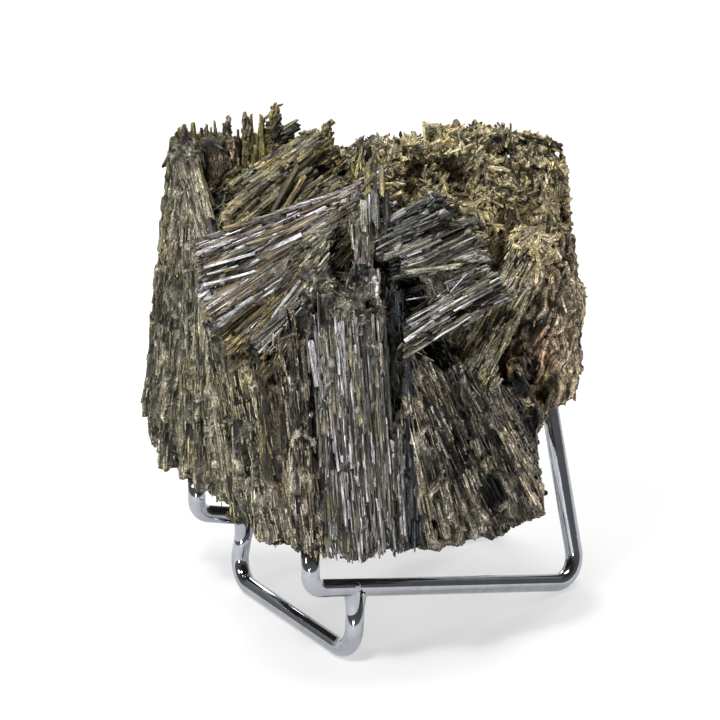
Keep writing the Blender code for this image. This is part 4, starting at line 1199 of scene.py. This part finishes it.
# ---- materials ----
def new_material(name):
    """A Principled material, its node tree and its shader."""
    material = bpy.data.materials.new(name)
    material.use_nodes = True
    tree = material.node_tree
    return material, tree, tree.nodes["Principled BSDF"]


def fill(node, inputs):
    """Sets a node's inputs, or links those whose value is another node's output."""
    for key, value in inputs.items():
        if isinstance(value, bpy.types.NodeSocket):
            node.id_data.links.new(value, node.inputs[key])
        else:
            node.inputs[key].default_value = value


def add(tree, kind, output, inputs=(), **settings):
    """An output of a new shader node with those settings and inputs."""
    node = tree.nodes.new(f"ShaderNode{kind}")
    for key, value in settings.items():
        setattr(node, key, value)
    fill(node, dict(inputs))
    return node.outputs[output]


def speckle(tree, scale, detail, roughness=0.5, where=None):
    """Noise over the object, or over another place."""
    where = where or add(tree, "TexCoord", "Object")
    return add(tree, "TexNoise", "Fac", {"Vector": where, "Scale": scale, "Detail": detail,
                                         "Roughness": roughness})


def spread(tree, value, start, end):
    """A value moved from one range to another."""
    return add(tree, "MapRange", "Result", {"Value": value, "From Min": start[0], "From Max": start[1],
                                            "To Min": end[0], "To Max": end[1]})


def times(tree, first, second, share=1.0):
    """A colour multiplied by another, by a share."""
    return add(tree, "Mix", "Result", {"Factor": share, "A": first, "B": second},
               data_type="RGBA", blend_type="MULTIPLY")


def ramp(tree, source, stops):
    """A colour ramp over a value, from (place, grey or colour) pairs."""
    node = tree.nodes.new("ShaderNodeValToRGB")
    elements = node.color_ramp.elements
    while len(elements) < len(stops):
        elements.new(0.5)
    for element, (where, colour) in zip(elements, stops):
        element.position = where
        element.color = (*colour, 1.0) if isinstance(colour, tuple) else (colour,) * 3 + (1.0,)
    fill(node, {"Fac": source})
    return node.outputs["Color"]


def epidote_material():
    """Vitreous, striated crystal: colour and gloss stored on each, grain from its UV map."""
    material, tree, shader = new_material("epidote")
    tint = add(tree, "Attribute", "Color", attribute_name="tint")
    shine = add(tree, "Attribute", "Fac", attribute_name="shine")
    grain = add(tree, "UVMap", "UV", uv_map="grain")
    stretched = add(tree, "Mapping", "Vector", {"Vector": grain, "Scale": (1.9, 0.16, 1.0)})
    striae = speckle(tree, 1.0, 5.0, 0.75, stretched)
    chips = speckle(tree, 2000.0, 4.0, 0.75)
    dull = spread(tree, shine, (0.45, 0.95), (0.8, 0.15))
    streaked = times(tree, tint, ramp(tree, striae, ((0.40, 0.10), (0.5, 0.8), (0.62, 2.1))))
    chipped = ramp(tree, chips, ((0.38, 0.08), (0.5, 0.95), (0.62, 2.2)))
    uneven = add(tree, "Math", "Value", {0: striae, 1: -0.5, 2: shine}, operation="MULTIPLY_ADD")
    level = add(tree, "Math", "Value", {0: uneven, 1: 0.25}, operation="ADD")
    lines = add(tree, "Bump", "Normal", {"Strength": 0.9, "Distance": 0.00010, "Height": striae})
    pits = add(tree, "Bump", "Normal", {"Strength": dull, "Distance": 0.00012, "Height": chips,
                                        "Normal": lines})
    fill(shader, {"Base Color": times(tree, streaked, chipped, dull),
                  "Roughness": spread(tree, level, (0.0, 1.0), (0.62, 0.10)), "Normal": pits,
                  "IOR": 1.5, "Specular IOR Level": 0.32})
    return material


def chrome_material():
    """Bright plated wire with faint handling marks."""
    material, tree, shader = new_material("chrome_plate")
    marks = speckle(tree, 220.0, 5.0, 0.7)
    colour = ramp(tree, marks, ((0.35, (0.42, 0.435, 0.47)), (0.7, (0.33, 0.345, 0.38))))
    bump = add(tree, "Bump", "Normal", {"Strength": 0.08, "Distance": 0.0003, "Height": marks})
    fill(shader, {"Base Color": colour, "Roughness": spread(tree, marks, (0.3, 0.75), (0.04, 0.14)),
                  "Normal": bump, "Metallic": 1.0})
    return material


# ---- studio ----
def make_floor():
    """A plain pale floor that lights itself a little."""
    material, tree, shader = new_material("studio_floor")
    colour = ramp(tree, speckle(tree, 4.0, 2.0), ((0.3, 0.30), (0.7, 0.32)))
    fill(shader, {"Base Color": colour, "Roughness": 0.7, "Emission Color": (1.0,) * 4,
                  "Emission Strength": FLOOR_GLOW})
    corners = [(x * FLOOR_HALF, y * FLOOR_HALF, 0) for x, y in ((-1, -1), (1, -1), (1, 1), (-1, 1))]
    mesh = new_mesh("floor", corners, [(0, 1, 2, 3)])
    mesh.materials.append(material)
    linked("floor", mesh)


def turned(name, data, location, target):
    """A new lamp or camera that looks at a target."""
    item = linked(name, data)
    item.location = location
    item.rotation_mode = "QUATERNION"
    item.rotation_quaternion = (Vector(target) - item.location).to_track_quat("-Z", "Y")
    return item


def area_light(name, location, size, brightness, tint=(1.0, 1.0, 1.0)):
    """A soft rectangular light that looks at the stone's middle."""
    light = bpy.data.lights.new(name, "AREA")
    light.shape = "RECTANGLE"
    light.size, light.size_y = size
    light.energy = brightness * math.pi * size[0] * size[1]
    light.color = tint
    turned(name, light, location, LIGHTS_AIM)


def make_world():
    """White behind, dark overhead and on the viewer's side, so that the chrome has contrast."""
    world = bpy.data.worlds.new("studio")
    world.use_nodes = True
    tree = world.node_tree
    up = add(tree, "SeparateXYZ", "Z", {"Vector": add(tree, "TexCoord", "Generated")})
    height = ramp(tree, up, ((0.0, 0.9), (0.4, 0.7), (0.62, 0.4), (0.8, 0.2), (1.0, 0.2)))
    depth = ramp(tree, up.node.outputs["Y"], ((0.0, 0.2), (0.35, 0.3), (0.65, 1.0)))
    fill(tree.nodes["Background"], {"Color": times(tree, height, depth), "Strength": 1.0})
    bpy.context.scene.world = world


def make_camera():
    """The photograph's view."""
    data = bpy.data.cameras.new("camera")
    data.lens = CAMERA_LENS
    data.sensor_width = SENSOR_WIDTH
    data.clip_start, data.clip_end = 0.01, 20.0
    bpy.context.scene.camera = turned("camera", data, place(CAMERA_PLACE), place(CAMERA_TARGET))


for item in list(bpy.data.objects):
    bpy.data.objects.remove(item)
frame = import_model()
CORNERS = stand_corners()
SHIFT = design_shift(CORNERS)

make_camera()
make_stone(np.random.default_rng(SEED))
make_stand(CORNERS)
make_floor()
make_world()
area_light("overhead", (0.0, 0.15, 1.15), (0.8, 0.6), 9.0, (1.0, 0.99, 0.98))
area_light("key", (-0.30, -0.46, 0.94), (0.26, 0.2), 38.0, (1.0, 0.985, 0.97))
area_light("sparkle", (-0.28, -0.50, 0.92), (0.08, 0.08), 200.0)
area_light("left_key", (-0.74, -0.50, 0.58), (0.16, 0.2), 26.0, (1.0, 0.985, 0.97))
area_light("low_front", (-0.28, -1.2, 0.16), (0.14, 0.12), 90.0, (0.97, 0.98, 1.0))
area_light("back_strip", (-0.2, 0.9, 0.6), (0.5, 0.2), 8.0)
bpy.context.scene.view_settings.view_transform = "Standard"
